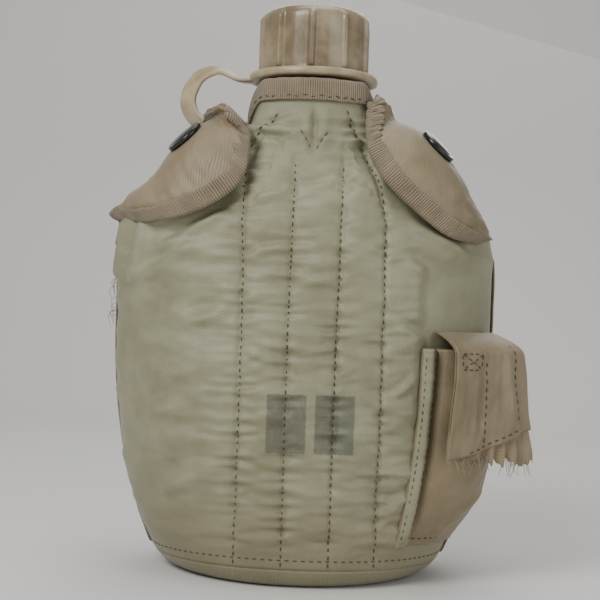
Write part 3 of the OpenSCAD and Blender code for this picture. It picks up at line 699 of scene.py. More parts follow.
def snap_place(side, t, inward=False):
    """Where a snap's piece stands on the flap, t mm from its design surface, facing out or in."""
    step = 0.01
    centre = flap_point(SNAP_U, SNAP_V, t)
    du = flap_point(SNAP_U + step, SNAP_V, 0.0) - flap_point(SNAP_U - step, SNAP_V, 0.0)
    dv = flap_point(SNAP_U, SNAP_V + step, 0.0) - flap_point(SNAP_U, SNAP_V - step, 0.0)
    n = np.cross(dv, du) * (-1.0 if inward else 1.0)
    return stood(centre * SIDE_SIGN[side], n * SIDE_SIGN[side])


def stud_place(side):
    """Where the stud stands on the cover, under its snap."""
    a, z = (np.array(k) for k in flap_foot(SNAP_U, SNAP_V))
    return stood(cover(a, z, SHELL_OUT + 0.3, 0.0) * SIDE_SIGN[side], outward(a, z) * SIDE_SIGN[side])


CAP_DISC = [(0.0, 2.3), (2.5, 2.25), (4.6, 2.0), (5.6, 1.65), (6.1, 1.45), (6.6, 1.6), (7.1, 1.65),
            (7.45, 1.4), (7.5, 0.9), (7.45, 0.3), (7.2, 0.0), (0.0, 0.0)]
SOCKET_RING = [(3.2, 0.0), (3.2, 1.3), (3.6, 1.5), (4.2, 1.3), (4.6, 0.9), (5.6, 0.8), (6.0, 0.5), (6.0, 0.0)]
STUD = [(0.0, 1.6), (1.8, 1.6), (2.4, 1.45), (2.6, 1.2), (2.3, 0.8), (2.4, 0.62), (3.2, 0.6), (5.2, 0.5),
        (5.5, 0.3), (5.5, 0.0), (0.0, 0.0)]


# ---------------------------------------------------------------- pocket
POCKET_TOP = 88.0
POCKET_BOTTOM = 17.0
POUCH_A = (299.0, 344.0)
POCKET_FLAP_A = (304.0, 336.0)
OVER_SHELL = 4.9


def pouch_point(u, v, t):
    """The pouch: a sewn-down front edge, an open pleat behind it, then the body bulging away from the cover."""
    ridge = 2.4 * np.exp(-(((u - 0.055) / 0.04) ** 2)) * smooth(v / 0.08)
    bulge = 9.0 * np.sin(np.pi * np.clip((u - 0.13) / 0.87, 0.0, 1.0)) ** 0.5
    bulge = bulge * smooth(v / 0.35) ** 0.6 * smooth((u - 0.11) / 0.07)
    off = np.maximum(ridge, bulge)
    return cover(mix(*POUCH_A, u), mix(POCKET_BOTTOM, POCKET_TOP, v), OVER_SHELL + off + t)


def pocket_pouch():
    """The pouch's cloth, softly creased."""
    u = np.linspace(0.0, 1.0, 150)[:, None]
    v = np.linspace(0.0, 1.0, 130)[None, :]
    soft = 0.5 * ripple(u * 45.0, v * 70.0, 41, 22.0) * smooth((u - 0.2) / 0.1) * smooth(v / 0.1)
    soft += fold(u * 45.0, v * 70.0, 18.0, 12.0, 40.0, 22.0, 2.0, 0.9)
    soft += fold(u * 45.0, v * 70.0, 14.0, 8.0, 24.0, 4.0, 1.6, 0.7)
    surface = pouch_point(u, v, 0.75 + soft)
    return thick("pocket_pouch", surface, 1.1, 0.6)


def pocket_flap_point(u, v, t):
    """The pocket's flap, hanging from its seam over the pouch, its rear corner standing out."""
    z = POCKET_TOP + 6.0 - 46.0 * v
    off = 12.8 * np.sin(np.radians(90.0 * np.clip(v / 0.16, 0.0, 1.0))) ** 0.8 + 11.0 * u**2.5 * v
    return cover(mix(*POCKET_FLAP_A, u), z, OVER_SHELL + 0.4 + off + t)


def flap_crease(u, v):
    """Creases of the pocket's flap: soft noise and two folds hanging from its box stitch."""
    x, y = u * 34.0, v * 46.0
    crease = 0.7 * ripple(x, y * 0.6, 51, 16.0) * smooth(v / 0.15)
    crease += fold(x, y, 11.0, 8.0, 12.0, 36.0, 1.4, -1.3) + fold(x, y, 22.0, 4.0, 25.0, 34.0, 1.6, 1.4)
    return crease + fold(x, y, 28.0, 10.0, 33.0, 40.0, 2.0, -1.2)


def pocket_flap():
    """The flap's cloth in two layers: the front one ends on a slant, and the ragged one below hangs lower."""
    u = np.linspace(0.0, 1.0, 120)[:, None]
    v = np.linspace(0.0, 1.0, 110)[None, :]
    slant = 0.80 + 0.14 * (1.0 - u) - 0.10 * u * u
    above = pocket_flap_point(u, v * slant, 1.2 + flap_crease(u, v * slant))
    front = thick("pocket_flap_front", above, 0.8, 0.5)
    rag = 0.93 + 0.055 * ripple(u * 34.0, 0.0 * u, 57, 4.2, 3) + 0.02 * np.abs(np.sin(u * 70.0))
    pleats = 1.1 * np.sin(u * 34.0 * 1.15 + 1.2 * np.sin(u * 9.0)) * smooth((v - 0.72) / 0.2)
    behind = pocket_flap_point(u, v * rag, 0.1 + 0.9 * flap_crease(u, v * rag) + pleats)
    return joined("pocket_flap", [front, thick("pocket_flap_back", behind, 0.6, 0.25)])


def on_pocket_flap(points, n):
    """A path on the pocket flap's front through (u, v) points, and the normals there."""
    p = through([(a, b, 0.0) for a, b in points], n)
    u, v = p[:, 0], p[:, 1]
    t = 1.75 + flap_crease(u, v)
    step = 0.004
    du = pocket_flap_point(u + step, v, t) - pocket_flap_point(u - step, v, t)
    dv = pocket_flap_point(u, v + step, t) - pocket_flap_point(u, v - step, t)
    return pocket_flap_point(u, v, t), unit(np.cross(dv, du))


# ---------------------------------------------------------------- cap, bottle and strap
CAP_Z = COVER_TOP_Z + 2.0
CAP_TOP = 213.55
CAP_R = 20.6
CAP_BORE = 18.9
CAP_EDGE = 5.0
SKIRT_Z = 189.6
CAP_RIBS = 10
THREAD_PITCH = 4.5
THREAD_START = 11.0


def cap_shell():
    """The cap: a bead, the strap's groove, a skirt with grip ribs and a rounded top edge, hollow inside."""
    theta = np.linspace(0.0, 2.0 * np.pi, 720, endpoint=False)[:, None]
    step = 2.0 * np.pi / CAP_RIBS
    near = np.mod(theta - 0.4 * step + step / 2.0, step) - step / 2.0
    arc = np.abs(near) * CAP_R
    rib = np.exp(-((arc / 1.25) ** 2.6))
    phi = np.linspace(0.0, np.pi / 2.0, 16)
    side_z = np.linspace(SKIRT_Z + 0.45, CAP_TOP - CAP_EDGE, 22)
    r = np.concatenate([[18.95, 20.3, 20.6, 20.6, 20.4, 20.0, 20.0, 20.3, 20.55], np.full(22, CAP_R),
                        CAP_R - CAP_EDGE * (1.0 - np.cos(phi[1:])), np.linspace(15.0, 0.0, 9)[1:]])
    foot_z = CAP_Z + np.array([0.0, 0.0, 0.25, 0.6, 0.8, 1.0])
    groove_z = SKIRT_Z + np.array([-0.2, 0.0, 0.12])
    edge_z = CAP_TOP - CAP_EDGE + CAP_EDGE * np.sin(phi[1:])
    z = np.concatenate([foot_z, groove_z, side_z, edge_z, np.full(8, CAP_TOP)])
    reach = smooth((z - SKIRT_Z) / 0.7) * smooth((CAP_TOP - 1.2 - z) / 3.6)
    dish_top = -0.25 * smooth((13.0 - r) / 3.0) * (z > CAP_TOP - 0.01)
    outer_r = r[None, :] + (rib * 1.1 - 0.3 * (1.0 - rib) * np.cos(np.pi * near / step)) * reach[None, :]
    outer_z = (z + dish_top)[None, :] + 0.0 * theta
    outer = np.stack([outer_r * np.cos(theta), outer_r * np.sin(theta), outer_z], -1)
    inner_r = np.array([18.95, CAP_BORE, CAP_BORE, 18.4, 9.0, 0.0])
    inner_z = np.array([CAP_Z, CAP_Z + 0.5, 210.8, 211.3, 211.35, 211.35])
    inner = np.stack([inner_r * np.cos(theta), inner_r * np.sin(theta), inner_z + 0.0 * theta], -1)
    ring = np.concatenate([inner[:, ::-1], outer], axis=1)
    shell = make_mesh("cap_shell_body", ring, grid_faces(720, ring.shape[1], wrap_u=True).tolist())
    tidy(shell)
    return joined("cap_shell", [shell, screw("cap_thread", CAP_BORE + 0.2, -1.5, 1.5, COVER_TOP_Z + 7.75)])


def screw(name, root, depth, turns, z0):
    """A ridge of thread: a small trapezium carried along a helix, growing in and dying out at its ends."""
    angle = np.linspace(0.0, turns * 2.0 * np.pi, int(turns * 60))[:, None]
    k = angle / angle[-1]
    grow = np.clip(np.minimum(k, 1.0 - k) * 7.0, 0.05, 1.0)
    r = root + np.array([0.0, 1.0, 1.0, 0.0])[None, :] * depth * grow
    rise = THREAD_PITCH * (angle / (2.0 * np.pi) + THREAD_START / 360.0)
    z = z0 + rise + np.array([-1.15, -0.5, 0.5, 1.15])[None, :]
    turned = angle + np.radians(THREAD_START)
    rings = np.stack([r * np.cos(turned), r * np.sin(turned), z], -1)
    obj = tube(name, rings)
    tidy(obj, 1e-7)
    return obj


def bottle():
    """The moulded bottle: the body's surface as a thin vessel, its neck with collar and thread above."""
    a = np.linspace(0.0, 360.0, 160, endpoint=False)[:, None]
    foot = BASE_Z + EDGE_R * (1.0 - np.cos(np.radians(np.linspace(0.0, 90.0, 8))))
    low = np.linspace(foot[-1], BELLY_Z, 26)[1:]
    high = BELLY_Z + (NECK_Z - BELLY_Z) * np.sin(np.radians(np.linspace(0.0, 90.0, 40)))[1:]
    z = np.concatenate([foot, low, high, [NECK_Z + 2.0]])[None, :]
    middle = np.array([0.0, -HIP_SWEEP / 3.0, 0.0])
    skins = []
    for t in (0.0, -2.0):
        skin = body(a + 0.0 * z, z + 0.0 * a)
        skin = skin + t * outward(a + 0.0 * z, z + 0.0 * a)
        k = np.linspace(0.0, 1.0, 10)[None, :-1, None]
        floor = middle + (skin[:, :1] * np.array([1.0, 1.0, 0.0]) - middle) * k
        floor[..., 2] = BASE_Z - t
        skins.append(np.concatenate([floor, skin], axis=1))
    ring = np.concatenate([skins[0], skins[1][:, ::-1]], axis=1)
    vessel = make_mesh("bottle_body", ring, grid_faces(160, ring.shape[1], wrap_u=True).tolist())
    tidy(vessel)
    neck = lathe("bottle_neck", [(16.0, 167.1), (20.0, 167.1), (20.0, 178.9), (20.3, 179.6), (21.2, 180.1),
                                 (21.5, 180.7), (21.5, 182.4), (21.1, 183.0), (20.6, 183.1), (17.6, 183.1),
                                 (17.0, 183.7), (17.0, 208.9), (16.8, 209.4), (16.3, 209.6), (15.0, 209.6),
                                 (14.6, 209.4), (14.5, 209.0), (14.5, 173.6)], 128)
    return joined("bottle", [vessel, neck, screw("bottle_thread", 16.8, 1.6, 1.7, COVER_TOP_Z + 10.0)])


RING_R = 24.6
BAND_TOP = 186.95
BAND_LOW = 170.0
BAND_ROUTE = [
    (-RING_R + 2.5, 0.0, BAND_TOP, 0.0), (-RING_R - 4.0, 1.0, BAND_TOP + 0.3, -8.0),
    (-RING_R - 12.0, 4.0, BAND_TOP + 4.0, -28.0), (-RING_R - 20.0, 6.5, BAND_TOP + 1.5, -45.0),
    (-RING_R - 24.0, 8.0, mix(BAND_LOW, BAND_TOP, 0.6), -50.0),
    (-RING_R - 21.0, 8.0, mix(BAND_LOW, BAND_TOP, 0.16), -40.0),
    (-RING_R - 13.0, 6.0, BAND_LOW - 0.6, -20.0), (-RING_R - 3.0, 0.6, BAND_LOW, -4.0),
    (-22.4, 0.0, BAND_LOW, 0.0),
]


def strap():
    """The cap's strap, one moulding: a ring under the cap, a ring round the neck and the band between them."""
    p = np.array(BAND_ROUTE)
    k = np.linspace(0.0, len(p) - 1.0, 150)
    line = curve_at(np.concatenate([p[:1], p, p[-1:]]), k)
    run = unit(np.gradient(line[:, :3], axis=0))
    flat = unit(np.cross(run, [0.0, 1.0, 0.0]))
    wide = unit(np.cross(flat, run))
    twist = np.radians(line[:, 3:])
    w = wide * np.cos(twist) + flat * np.sin(twist)
    t = flat * np.cos(twist) - wide * np.sin(twist)
    angle = np.linspace(0.0, 2.0 * np.pi, 28, endpoint=False)
    across_w = 4.0 * signed_power(np.cos(angle), 0.35)[None, :, None]
    across_t = 0.9 * signed_power(np.sin(angle), 0.6)[None, :, None]
    flare = (1.0 + 0.45 * np.exp(-np.minimum(k, k[-1] - k) / 0.35))[:, None, None]
    band = tube("strap_band", line[:, None, :3] + w[:, None] * across_w * flare + t[:, None] * across_t)
    tidy(band, 1e-7)
    cap_ring = lathe("strap_cap_ring", [(20.2, 186.05), (20.2, 189.45), (23.4, 189.45), (24.3, 189.1),
                                        (RING_R, 188.3), (RING_R, 187.2), (24.3, 186.4), (23.4, 186.05)], 160)
    neck_ring = lathe("strap_neck_ring", [(20.2, 169.1), (20.2, 170.9), (22.9, 170.9), (23.4, 170.5),
                                          (23.4, 169.5), (22.9, 169.1)], 120)
    return joined("strap", [band, cap_ring, neck_ring])


# ---------------------------------------------------------------- materials
class Wave:
    """A value that varies over a surface, with the arithmetic that the finishes use."""

    def __init__(self, looks, socket):
        self.looks = looks
        self.socket = socket

    def combine(self, operation, other, flipped=False):
        pair = [other, self] if flipped else [self, other]
        return self.looks.maths(operation, *pair)

    def __add__(self, other):
        return self.combine("ADD", other)

    def __radd__(self, other):
        return self.combine("ADD", other, True)

    def __sub__(self, other):
        return self.combine("SUBTRACT", other)

    def __rsub__(self, other):
        return self.combine("SUBTRACT", other, True)

    def __mul__(self, other):
        return self.combine("MULTIPLY", other)

    def __rmul__(self, other):
        return self.combine("MULTIPLY", other, True)

    def __truediv__(self, other):
        return self.combine("DIVIDE", other)

    def __pow__(self, other):
        return self.combine("POWER", other)


class Looks:
    """One material's nodes."""

    def __init__(self, name):
        self.material = bpy.data.materials.new(name)
        self.material.use_nodes = True
        self.tree = self.material.node_tree
        self.tree.nodes.clear()

    def node(self, kind, settings=None, inputs=None):
        """A node of a kind, its settings made first, then its sockets given values or links."""
        made = self.tree.nodes.new("ShaderNode" + kind)
        for key, value in (settings or {}).items():
            if key == "stops":
                ramp = made.color_ramp
                while len(ramp.elements) < len(value):
                    ramp.elements.new(0.5)
                for element, (place, colour) in zip(ramp.elements, value):
                    element.position = place
                    element.color = colour
            else:
                setattr(made, key, value)
        for key, value in (inputs or {}).items():
            socket = made.inputs[key]
            if isinstance(value, Wave):
                self.tree.links.new(value.socket, socket)
            elif isinstance(value, bpy.types.NodeSocket):
                self.tree.links.new(value, socket)
            else:
                socket.default_value = value
        return made

    def maths(self, operation, *values):
        made = self.node("Math", {"operation": operation}, dict(enumerate(values)))
        return Wave(self, made.outputs[0])

    def sine(self, value):
        return self.maths("SINE", value)

    def step(self, value, low, high):
        """0 where value is below low, 1 above high, and smooth between."""
        made = self.node("MapRange", {"interpolation_type": "SMOOTHSTEP", "clamp": True},
                         {"Value": value, "From Min": low, "From Max": high})
        return Wave(self, made.outputs[0])

    def place(self):
        """The point on the object, in metres, and its x, y and z."""
        spot = self.node("TexCoord").outputs["Object"]
        parts = self.node("SeparateXYZ", None, {0: spot})
        return spot, [Wave(self, parts.outputs[k]) for k in range(3)]

    def cloth_place(self):
        """The point on the cloth along and across it, in millimetres."""
        spot = self.node("UVMap", {"uv_map": "UVMap"}).outputs[0]
        parts = self.node("SeparateXYZ", None, {0: spot})
        return spot, [Wave(self, parts.outputs[k]) for k in range(2)]

    def noise(self, spot, scale, detail=3.0, roughness=0.55, stretch=None):
        """Noise from 0 to 1 at a point."""
        if stretch is not None:
            spot = self.node("Mapping", None, {"Vector": spot, "Scale": stretch}).outputs[0]
        made = self.node("TexNoise", None,
                         {"Vector": spot, "Scale": scale, "Detail": detail, "Roughness": roughness})
        return Wave(self, made.outputs[0])

    def blend(self, low, high, factor):
        """A colour between two colours."""
        made = self.node("Mix", {"data_type": "RGBA"}, {0: factor, 6: low, 7: high})
        return made.outputs[2]

    def bump(self, height, distance, strength=1.0, onto=None):
        """A normal from a height in units of distance metres."""
        inputs = {"Height": height, "Distance": distance, "Strength": strength}
        if onto is not None:
            inputs["Normal"] = onto
        return self.node("Bump", None, inputs).outputs[0]

    def surface(self, colour, roughness, normal=None, **fixed):
        """The shader that closes the material. What is in fixed is a constant of the shader."""
        inputs = {"Base Color": colour, "Roughness": roughness}
        if normal is not None:
            inputs["Normal"] = normal
        for key, value in fixed.items():
            inputs[key.replace("_", " ")] = value
        shader = self.node("BsdfPrincipled", None, inputs)
        out = self.node("OutputMaterial")
        self.tree.links.new(shader.outputs[0], out.inputs[0])
        return self.material


def ink(red, green, blue):
    """A display colour from 0 to 255 as the renderer's linear colour."""
    c = np.array([red, green, blue]) / 255.0
    linear = np.where(c <= 0.04045, c / 12.92, ((c + 0.055) / 1.055) ** 2.4)
    return (float(linear[0]), float(linear[1]), float(linear[2]), 1.0)


def nylon(name, light, dark, worn, marked=False):
    """Coated nylon twill: fine diagonal ribs, a soft sheen, faded patches, and a darkened foot."""
    look = Looks(name)
    spot, (x, y, z) = look.place()
    cloth, (u, v) = look.cloth_place()
    rib = look.sine((u + v) * (2.0 * math.pi / 1.15)) * 0.5 + 0.5
    thread = look.sine((u - v) * (2.0 * math.pi / 0.55)) * 0.5 + 0.5
    weave = rib * 0.75 + thread * 0.25
    fading = look.noise(spot, 22.0, 4.0, 0.6)
    mottle = look.noise(spot, 95.0, 3.0, 0.6)
    slub = look.noise(cloth, 0.9, 2.0, 0.5, (0.12, 1.0, 1.0))
    colour = look.blend(dark, light, look.step(fading * 0.65 + mottle * 0.35, 0.22, 0.72))
    low = look.step(z, 0.062, 0.004)
    colour = look.blend(colour, worn, low * 0.6)
    colour = look.blend(colour, dark, (1.0 - weave) * 0.34)
    colour = look.blend(colour, worn, look.step(slub, 0.56, 0.72) * 0.16)
    if marked:
        colour = look.blend(colour, ink(64, 66, 58), stencil(look, spot, x, y, z) * 0.62)
    height = weave * 0.55 + slub * 0.5
    fine = look.bump(height, 0.00016, 0.8)
    soft = look.bump(look.noise(spot, 160.0, 3.0, 0.6), 0.0011, 0.35, fine)
    roughness = 0.36 + (1.0 - weave) * 0.16 + mottle * 0.08
    return look.surface(colour, roughness, soft, Sheen_Weight=0.12, Sheen_Roughness=0.4, Specular_IOR_Level=0.5)


def stencil(look, spot, x, y, z):
    """A faded ink mark of two plain blocks, worn through in spots."""
    rough = (look.noise(spot, 900.0, 2.0, 0.6) - 0.5) * 0.0011
    total = None
    for left in (-0.0125, 0.0045):
        inside = look.step(x + rough, left, left + 0.0006) * look.step(x + rough, left + 0.0145, left + 0.0139)
        total = inside if total is None else total + inside
    tall = look.step(z + rough, 0.0492, 0.0498) * look.step(z + rough, 0.0706, 0.07)
    faded = look.step(look.noise(spot, 260.0, 4.0, 0.65), 0.24, 0.5)
    front = look.step(y, 0.0, -0.004)
    return total * tall * front * (0.45 + 0.55 * faded)


def ribbed_tape(name, light, dark, pitch=0.82):
    """Woven tape whose ribs run across it, paler on their crests and worn smooth in places."""
    look = Looks(name)
    spot, _ = look.place()
    cloth, (u, v) = look.cloth_place()
    wander = look.noise(cloth, 0.12, 2.0, 0.5) * 0.7
    rib = look.sine((u + wander) * (2.0 * math.pi / pitch)) * 0.5 + 0.5
    cross = look.sine(v * (2.0 * math.pi / 0.5)) * 0.5 + 0.5
    wear = look.noise(spot, 55.0, 4.0, 0.6)
    colour = look.blend(dark, light, rib * 0.72 + cross * 0.1 + look.step(wear, 0.35, 0.7) * 0.35)
    height = rib * 0.85 + cross * 0.15
    normal = look.bump(height, 0.00042, 0.9)
    normal = look.bump(look.noise(spot, 240.0, 3.0, 0.6), 0.0006, 0.3, normal)
    roughness = 0.6 + (1.0 - rib) * 0.2
    return look.surface(colour, roughness, normal, Sheen_Weight=0.15, Sheen_Roughness=0.5)


def moulded(name, light, dark, roughness, grain=0.00005, painted_shade=0.5):
    """Moulded plastic: a satin skin with a fine grain, faint scuffs, and painted shade darkening its hollows."""
    look = Looks(name)
    spot, _ = look.place()
    cloud = look.noise(spot, 60.0, 4.0, 0.6)
    scuff = look.noise(spot, 420.0, 2.0, 0.7, (1.0, 1.0, 0.25))
    colour = look.blend(dark, light, look.step(cloud, 0.32, 0.66))
    colour = look.blend(colour, light, look.step(scuff, 0.62, 0.8) * 0.4)
    # Painted shade: an ambient occlusion node darkens the colour toward the dark tone in hollows and crevices.
    hollow = look.node("AmbientOcclusion", None, {"Distance": 0.004}).outputs["AO"]
    colour = look.blend(dark, colour, look.maths("ADD", look.maths("MULTIPLY", hollow, painted_shade), 1.0 - painted_shade))
    normal = look.bump(look.noise(spot, 2600.0, 2.0, 0.5), grain, 0.6)
    normal = look.bump(cloud * 0.6 + scuff * 0.4, 0.0005, 0.25, normal)
    rough = roughness + (scuff - 0.5) * 0.2
    return look.surface(colour, rough, normal, Specular_IOR_Level=0.5)


def pile(name, light, dark):
    """Felted pile: a matt, tufted nap."""
    look = Looks(name)
    spot, _ = look.place()
    tuft = look.noise(spot, 900.0, 4.0, 0.7)
    matted = look.noise(spot, 110.0, 3.0, 0.6)
    colour = look.blend(dark, light, tuft * 0.7 + matted * 0.3)
    normal = look.bump(tuft * 0.6 + matted * 0.4, 0.0016, 1.0)
    return look.surface(colour, 0.95, normal, Sheen_Weight=0.5, Sheen_Roughness=0.6)


def webbing(name, light, dark):
    """Heavy webbing: a herringbone of ribs two millimetres wide."""
    look = Looks(name)
    spot, (x, _, z) = look.place()
    zig = look.maths("PINGPONG", x * 1000.0, 2.6)
    rib = look.sine((z * 1000.0 + zig) * (2.0 * math.pi / 1.5)) * 0.5 + 0.5
    wear = look.noise(spot, 70.0, 4.0, 0.6)
    colour = look.blend(dark, light, rib * 0.6 + wear * 0.5)
    normal = look.bump(rib, 0.0005, 1.0)
    return look.surface(colour, 0.82, normal, Sheen_Weight=0.2, Sheen_Roughness=0.5)


def metal(name, base, bare, roughness, metallic, chips):
    """Plated or enamelled metal, rubbed to bare metal in small chips."""
    look = Looks(name)
    spot, _ = look.place()
    cloud = look.noise(spot, 180.0, 4.0, 0.65)
    scratch = look.noise(spot, 700.0, 3.0, 0.7, (1.0, 1.0, 0.12))
    worn = look.step(cloud * 0.6 + scratch * 0.4, chips, chips + 0.05)
    colour = look.blend(base, bare, worn)
    shine = worn * (0.9 - metallic) + metallic
    rough = roughness + (scratch - 0.5) * 0.18 + worn * 0.12
    normal = look.bump(scratch, 0.00008, 0.5)
    return look.surface(colour, rough, normal, Metallic=shine)


def hook_and_loop(name, light, dark):
    """Fastener tape: a field of tiny loops."""
    look = Looks(name)
    spot, _ = look.place()
    cells = look.node("TexVoronoi", None, {"Vector": spot, "Scale": 1400.0}).outputs["Distance"]
    nub = look.step(Wave(look, cells), 0.5, 0.0)
    colour = look.blend(dark, light, nub)
    return look.surface(colour, 0.9, look.bump(nub, 0.0005, 1.0))


def thread_look(name, light, dark):
    """Twisted sewing thread."""
    look = Looks(name)
    spot, _ = look.place()
    shade = look.noise(spot, 700.0, 2.0, 0.5)
    colour = look.blend(dark, light, shade)
    return look.surface(colour, 0.75, look.bump(shade, 0.0001, 0.5))


def floor_look(name, tone):
    """Pale seamless paper, with the faintest grain."""
    look = Looks(name)
    spot, _ = look.place()
    colour = look.blend(tone, ink(228, 226, 222), look.noise(spot, 3.0, 2.0, 0.5) * 0.25)
    return look.surface(colour, 0.85, look.bump(look.noise(spot, 600.0, 2.0, 0.5), 0.0002, 0.2))


OLIVE_LIGHT = ink(153, 152, 126)
OLIVE_DARK = ink(116, 113, 84)
OLIVE_WORN = ink(118, 107, 78)
NYLON = nylon("nylon_twill", OLIVE_LIGHT, OLIVE_DARK, OLIVE_WORN)
NYLON_FRONT = nylon("nylon_twill_front", OLIVE_LIGHT, OLIVE_DARK, OLIVE_WORN, marked=True)
NYLON_TAN = nylon("nylon_twill_faded", ink(146, 130, 102), ink(104, 91, 64), ink(112, 98, 70))
TAPE = ribbed_tape("ribbed_tape", ink(150, 134, 108), ink(88, 75, 54))
CAP_PLASTIC = moulded("cap_plastic", ink(152, 137, 112), ink(112, 97, 72), 0.27)
BOTTLE_PLASTIC = moulded("bottle_plastic", ink(140, 126, 100), ink(106, 92, 68), 0.32)
STRAP_PLASTIC = moulded("strap_plastic", ink(178, 163, 133), ink(144, 127, 96), 0.34, painted_shade=0.35)
PILE = pile("wool_pile", ink(118, 116, 88), ink(64, 62, 44))
WEBBING = webbing("webbing_herringbone", ink(124, 120, 90), ink(72, 68, 46))
ENAMEL = metal("black_enamel", ink(22, 20, 20), ink(120, 112, 100), 0.16, 0.0, 0.72)
STEEL_BLACK = metal("black_steel", ink(34, 33, 31), ink(128, 122, 112), 0.34, 0.35, 0.6)
NICKEL = metal("nickel_plate", ink(178, 172, 160), ink(120, 104, 78), 0.3, 0.9, 0.66)
HOOKS = hook_and_loop("fastener_tape", ink(116, 112, 84), ink(60, 58, 40))
RUBBER = moulded("gasket_rubber", ink(82, 78, 66), ink(52, 49, 42), 0.6)
THREAD = thread_look("sewing_thread", ink(84, 76, 56), ink(44, 39, 28))
THREAD_PALE = thread_look("loose_thread", ink(164, 152, 120), ink(120, 110, 84))


# ---------------------------------------------------------------- camera, light and floor
def light(name, place, aim, size, power, tint=(1.0, 1.0, 1.0)):
    """A square soft light at a place, facing a point."""
    lamp = bpy.data.lights.new(name, "AREA")
    lamp.size = size
    lamp.energy = power
    lamp.color = tint
    obj = bpy.data.objects.new(name, lamp)
    obj.location = place
    direction = np.array(aim) - np.array(place)
    heading = math.atan2(direction[1], direction[0])
    fall = math.acos(direction[2] / np.linalg.norm(direction))
    obj.rotation_euler = (math.pi - fall, 0.0, heading + math.pi / 2.0 + math.pi)
    bpy.context.scene.collection.objects.link(obj)
    return obj


def stand_and_camera():
    """The level camera, leaned a little, four soft lights, a pale world, and a pale paper sweep behind."""
    camera = bpy.data.cameras.new("camera")
    camera.lens = 78.1
    camera.sensor_width = 36.0
    eye = bpy.data.objects.new("camera", camera)
    eye.location = (-0.002, -0.5, 0.1035)
    eye.rotation_euler = (math.radians(90.0), math.radians(-2.2), 0.0)
    bpy.context.scene.collection.objects.link(eye)
    bpy.context.scene.camera = eye
    aim = (0.0, 0.0, 0.11)
    light("key", (-0.42, -0.62, 0.62), aim, 0.4, 6.5)
    light("fill", (0.62, -0.55, 0.28), aim, 0.6, 2.2)
    light("top", (0.05, 0.05, 0.85), aim, 0.5, 2.4)
    light("back", (0.1, 0.75, 0.5), aim, 0.6, 2.0)
    world = bpy.data.worlds.new("world")
    world.use_nodes = True
    world.node_tree.nodes["Background"].inputs["Color"].default_value = (0.86, 0.88, 0.9, 1.0)
    world.node_tree.nodes["Background"].inputs["Strength"].default_value = 0.34
    bpy.context.scene.world = world
    x = np.linspace(-1500.0, 1500.0, 3)[:, None]
    turn = np.radians(np.linspace(0.0, 90.0, 20))
    y = np.concatenate([[-1500.0], 550.0 + 250.0 * np.sin(turn), [800.0]])[None, :]
    z = np.concatenate([[0.0], 250.0 * (1.0 - np.cos(turn)), [1400.0]])[None, :]
    sweep = make_mesh("paper_sweep", np.stack(np.broadcast_arrays(x, y, z), -1), grid_faces(3, 22).tolist())
    sweep.data.materials.append(floor_look("pale_paper", ink(214, 212, 208)))


def softened(node, width=0.35):
    """A CAD node's own mesh, merged and bevelled, as a new piece."""
    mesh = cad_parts[node].data.copy()
    obj = bpy.data.objects.new(node + "_piece", mesh)
    bpy.context.scene.collection.objects.link(obj)
    tidy(obj)
    bevel = obj.modifiers.new("edges", "BEVEL")
    bevel.width = width * MM
    bevel.segments = 3
    bevel.limit_method = "ANGLE"
    bevel.angle_limit = math.radians(35.0)
    for polygon in obj.data.polygons:
        polygon.use_smooth = False
    return obj


# ---------------------------------------------------------------- the pieces
stand_and_camera()

finish(bottle(), BOTTLE_PLASTIC, "canteen", "bottle_plastic", "bottle", "bottle_neck")
finish(cap_shell(), CAP_PLASTIC, "cap", "bottle_plastic", "cap_shell")
gasket = lathe("cap_gasket", [(0.0, 209.75), (18.5, 209.75), (18.7, 209.9), (18.7, 211.15), (18.5, 211.3),
                              (0.0, 211.3)])
finish(gasket, RUBBER, "cap", "gasket_rubber", "cap_gasket")
strap_piece = strap()
strap_piece.data.materials.append(STRAP_PLASTIC)
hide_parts("strap_cap_ring", "strap_band", "strap_neck_ring")
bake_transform(strap_piece)

front = finish(front_panel(), NYLON_FRONT, "canteen", "nylon", "front_panel")
back = finish(back_panel(), NYLON, "canteen", "nylon", "back_panel")
base = finish(dish("base_panel", SHELL_IN, SHELL_OUT, 150), NYLON, "canteen", "nylon", "base_panel")
finish(dish("base_lining", LINING_IN, LINING_OUT - 0.15, 90), PILE, "canteen", "pile", "base_lining")
finish(lining("front_lining", 180.5, 359.5), PILE, "canteen", "pile", "front_lining")
finish(lining("back_lining", 0.5, 179.5), PILE, "canteen", "pile", "back_lining")

finish(neck_binding("front_neck_binding", 216.0, 324.0), TAPE, "canteen", "binding_tape", "front_neck_binding")
finish(neck_binding("back_neck_binding", 36.0, 144.0), TAPE, "canteen", "binding_tape", "back_neck_binding")
for side, angle in (("left", 180.0), ("right", 0.0)):
    finish(seam_tape(side + "_seam_tape", angle), TAPE, "canteen", "binding_tape", side + "_seam_tape")

threads = [edge_stitches("front_binding_stitches", np.linspace(217.0, 323.0, 300), 5.6, SHELL_OUT + 1.15),
           edge_stitches("back_binding_stitches", np.linspace(37.0, 143.0, 300), 5.6, SHELL_OUT + 1.15)]
for line in CHANNELS:
    threads.append(sewn_on_front(line, 400, 1.8, 0.3))
for x_top in (-4.2, 5.8):
    threads.append(sewn_on_front([(x_top, 163.5), (0.8, 153.5)], 60, 2.2, 0.26))
finish(joined("panel_stitches", threads), THREAD, "canteen", "nylon")

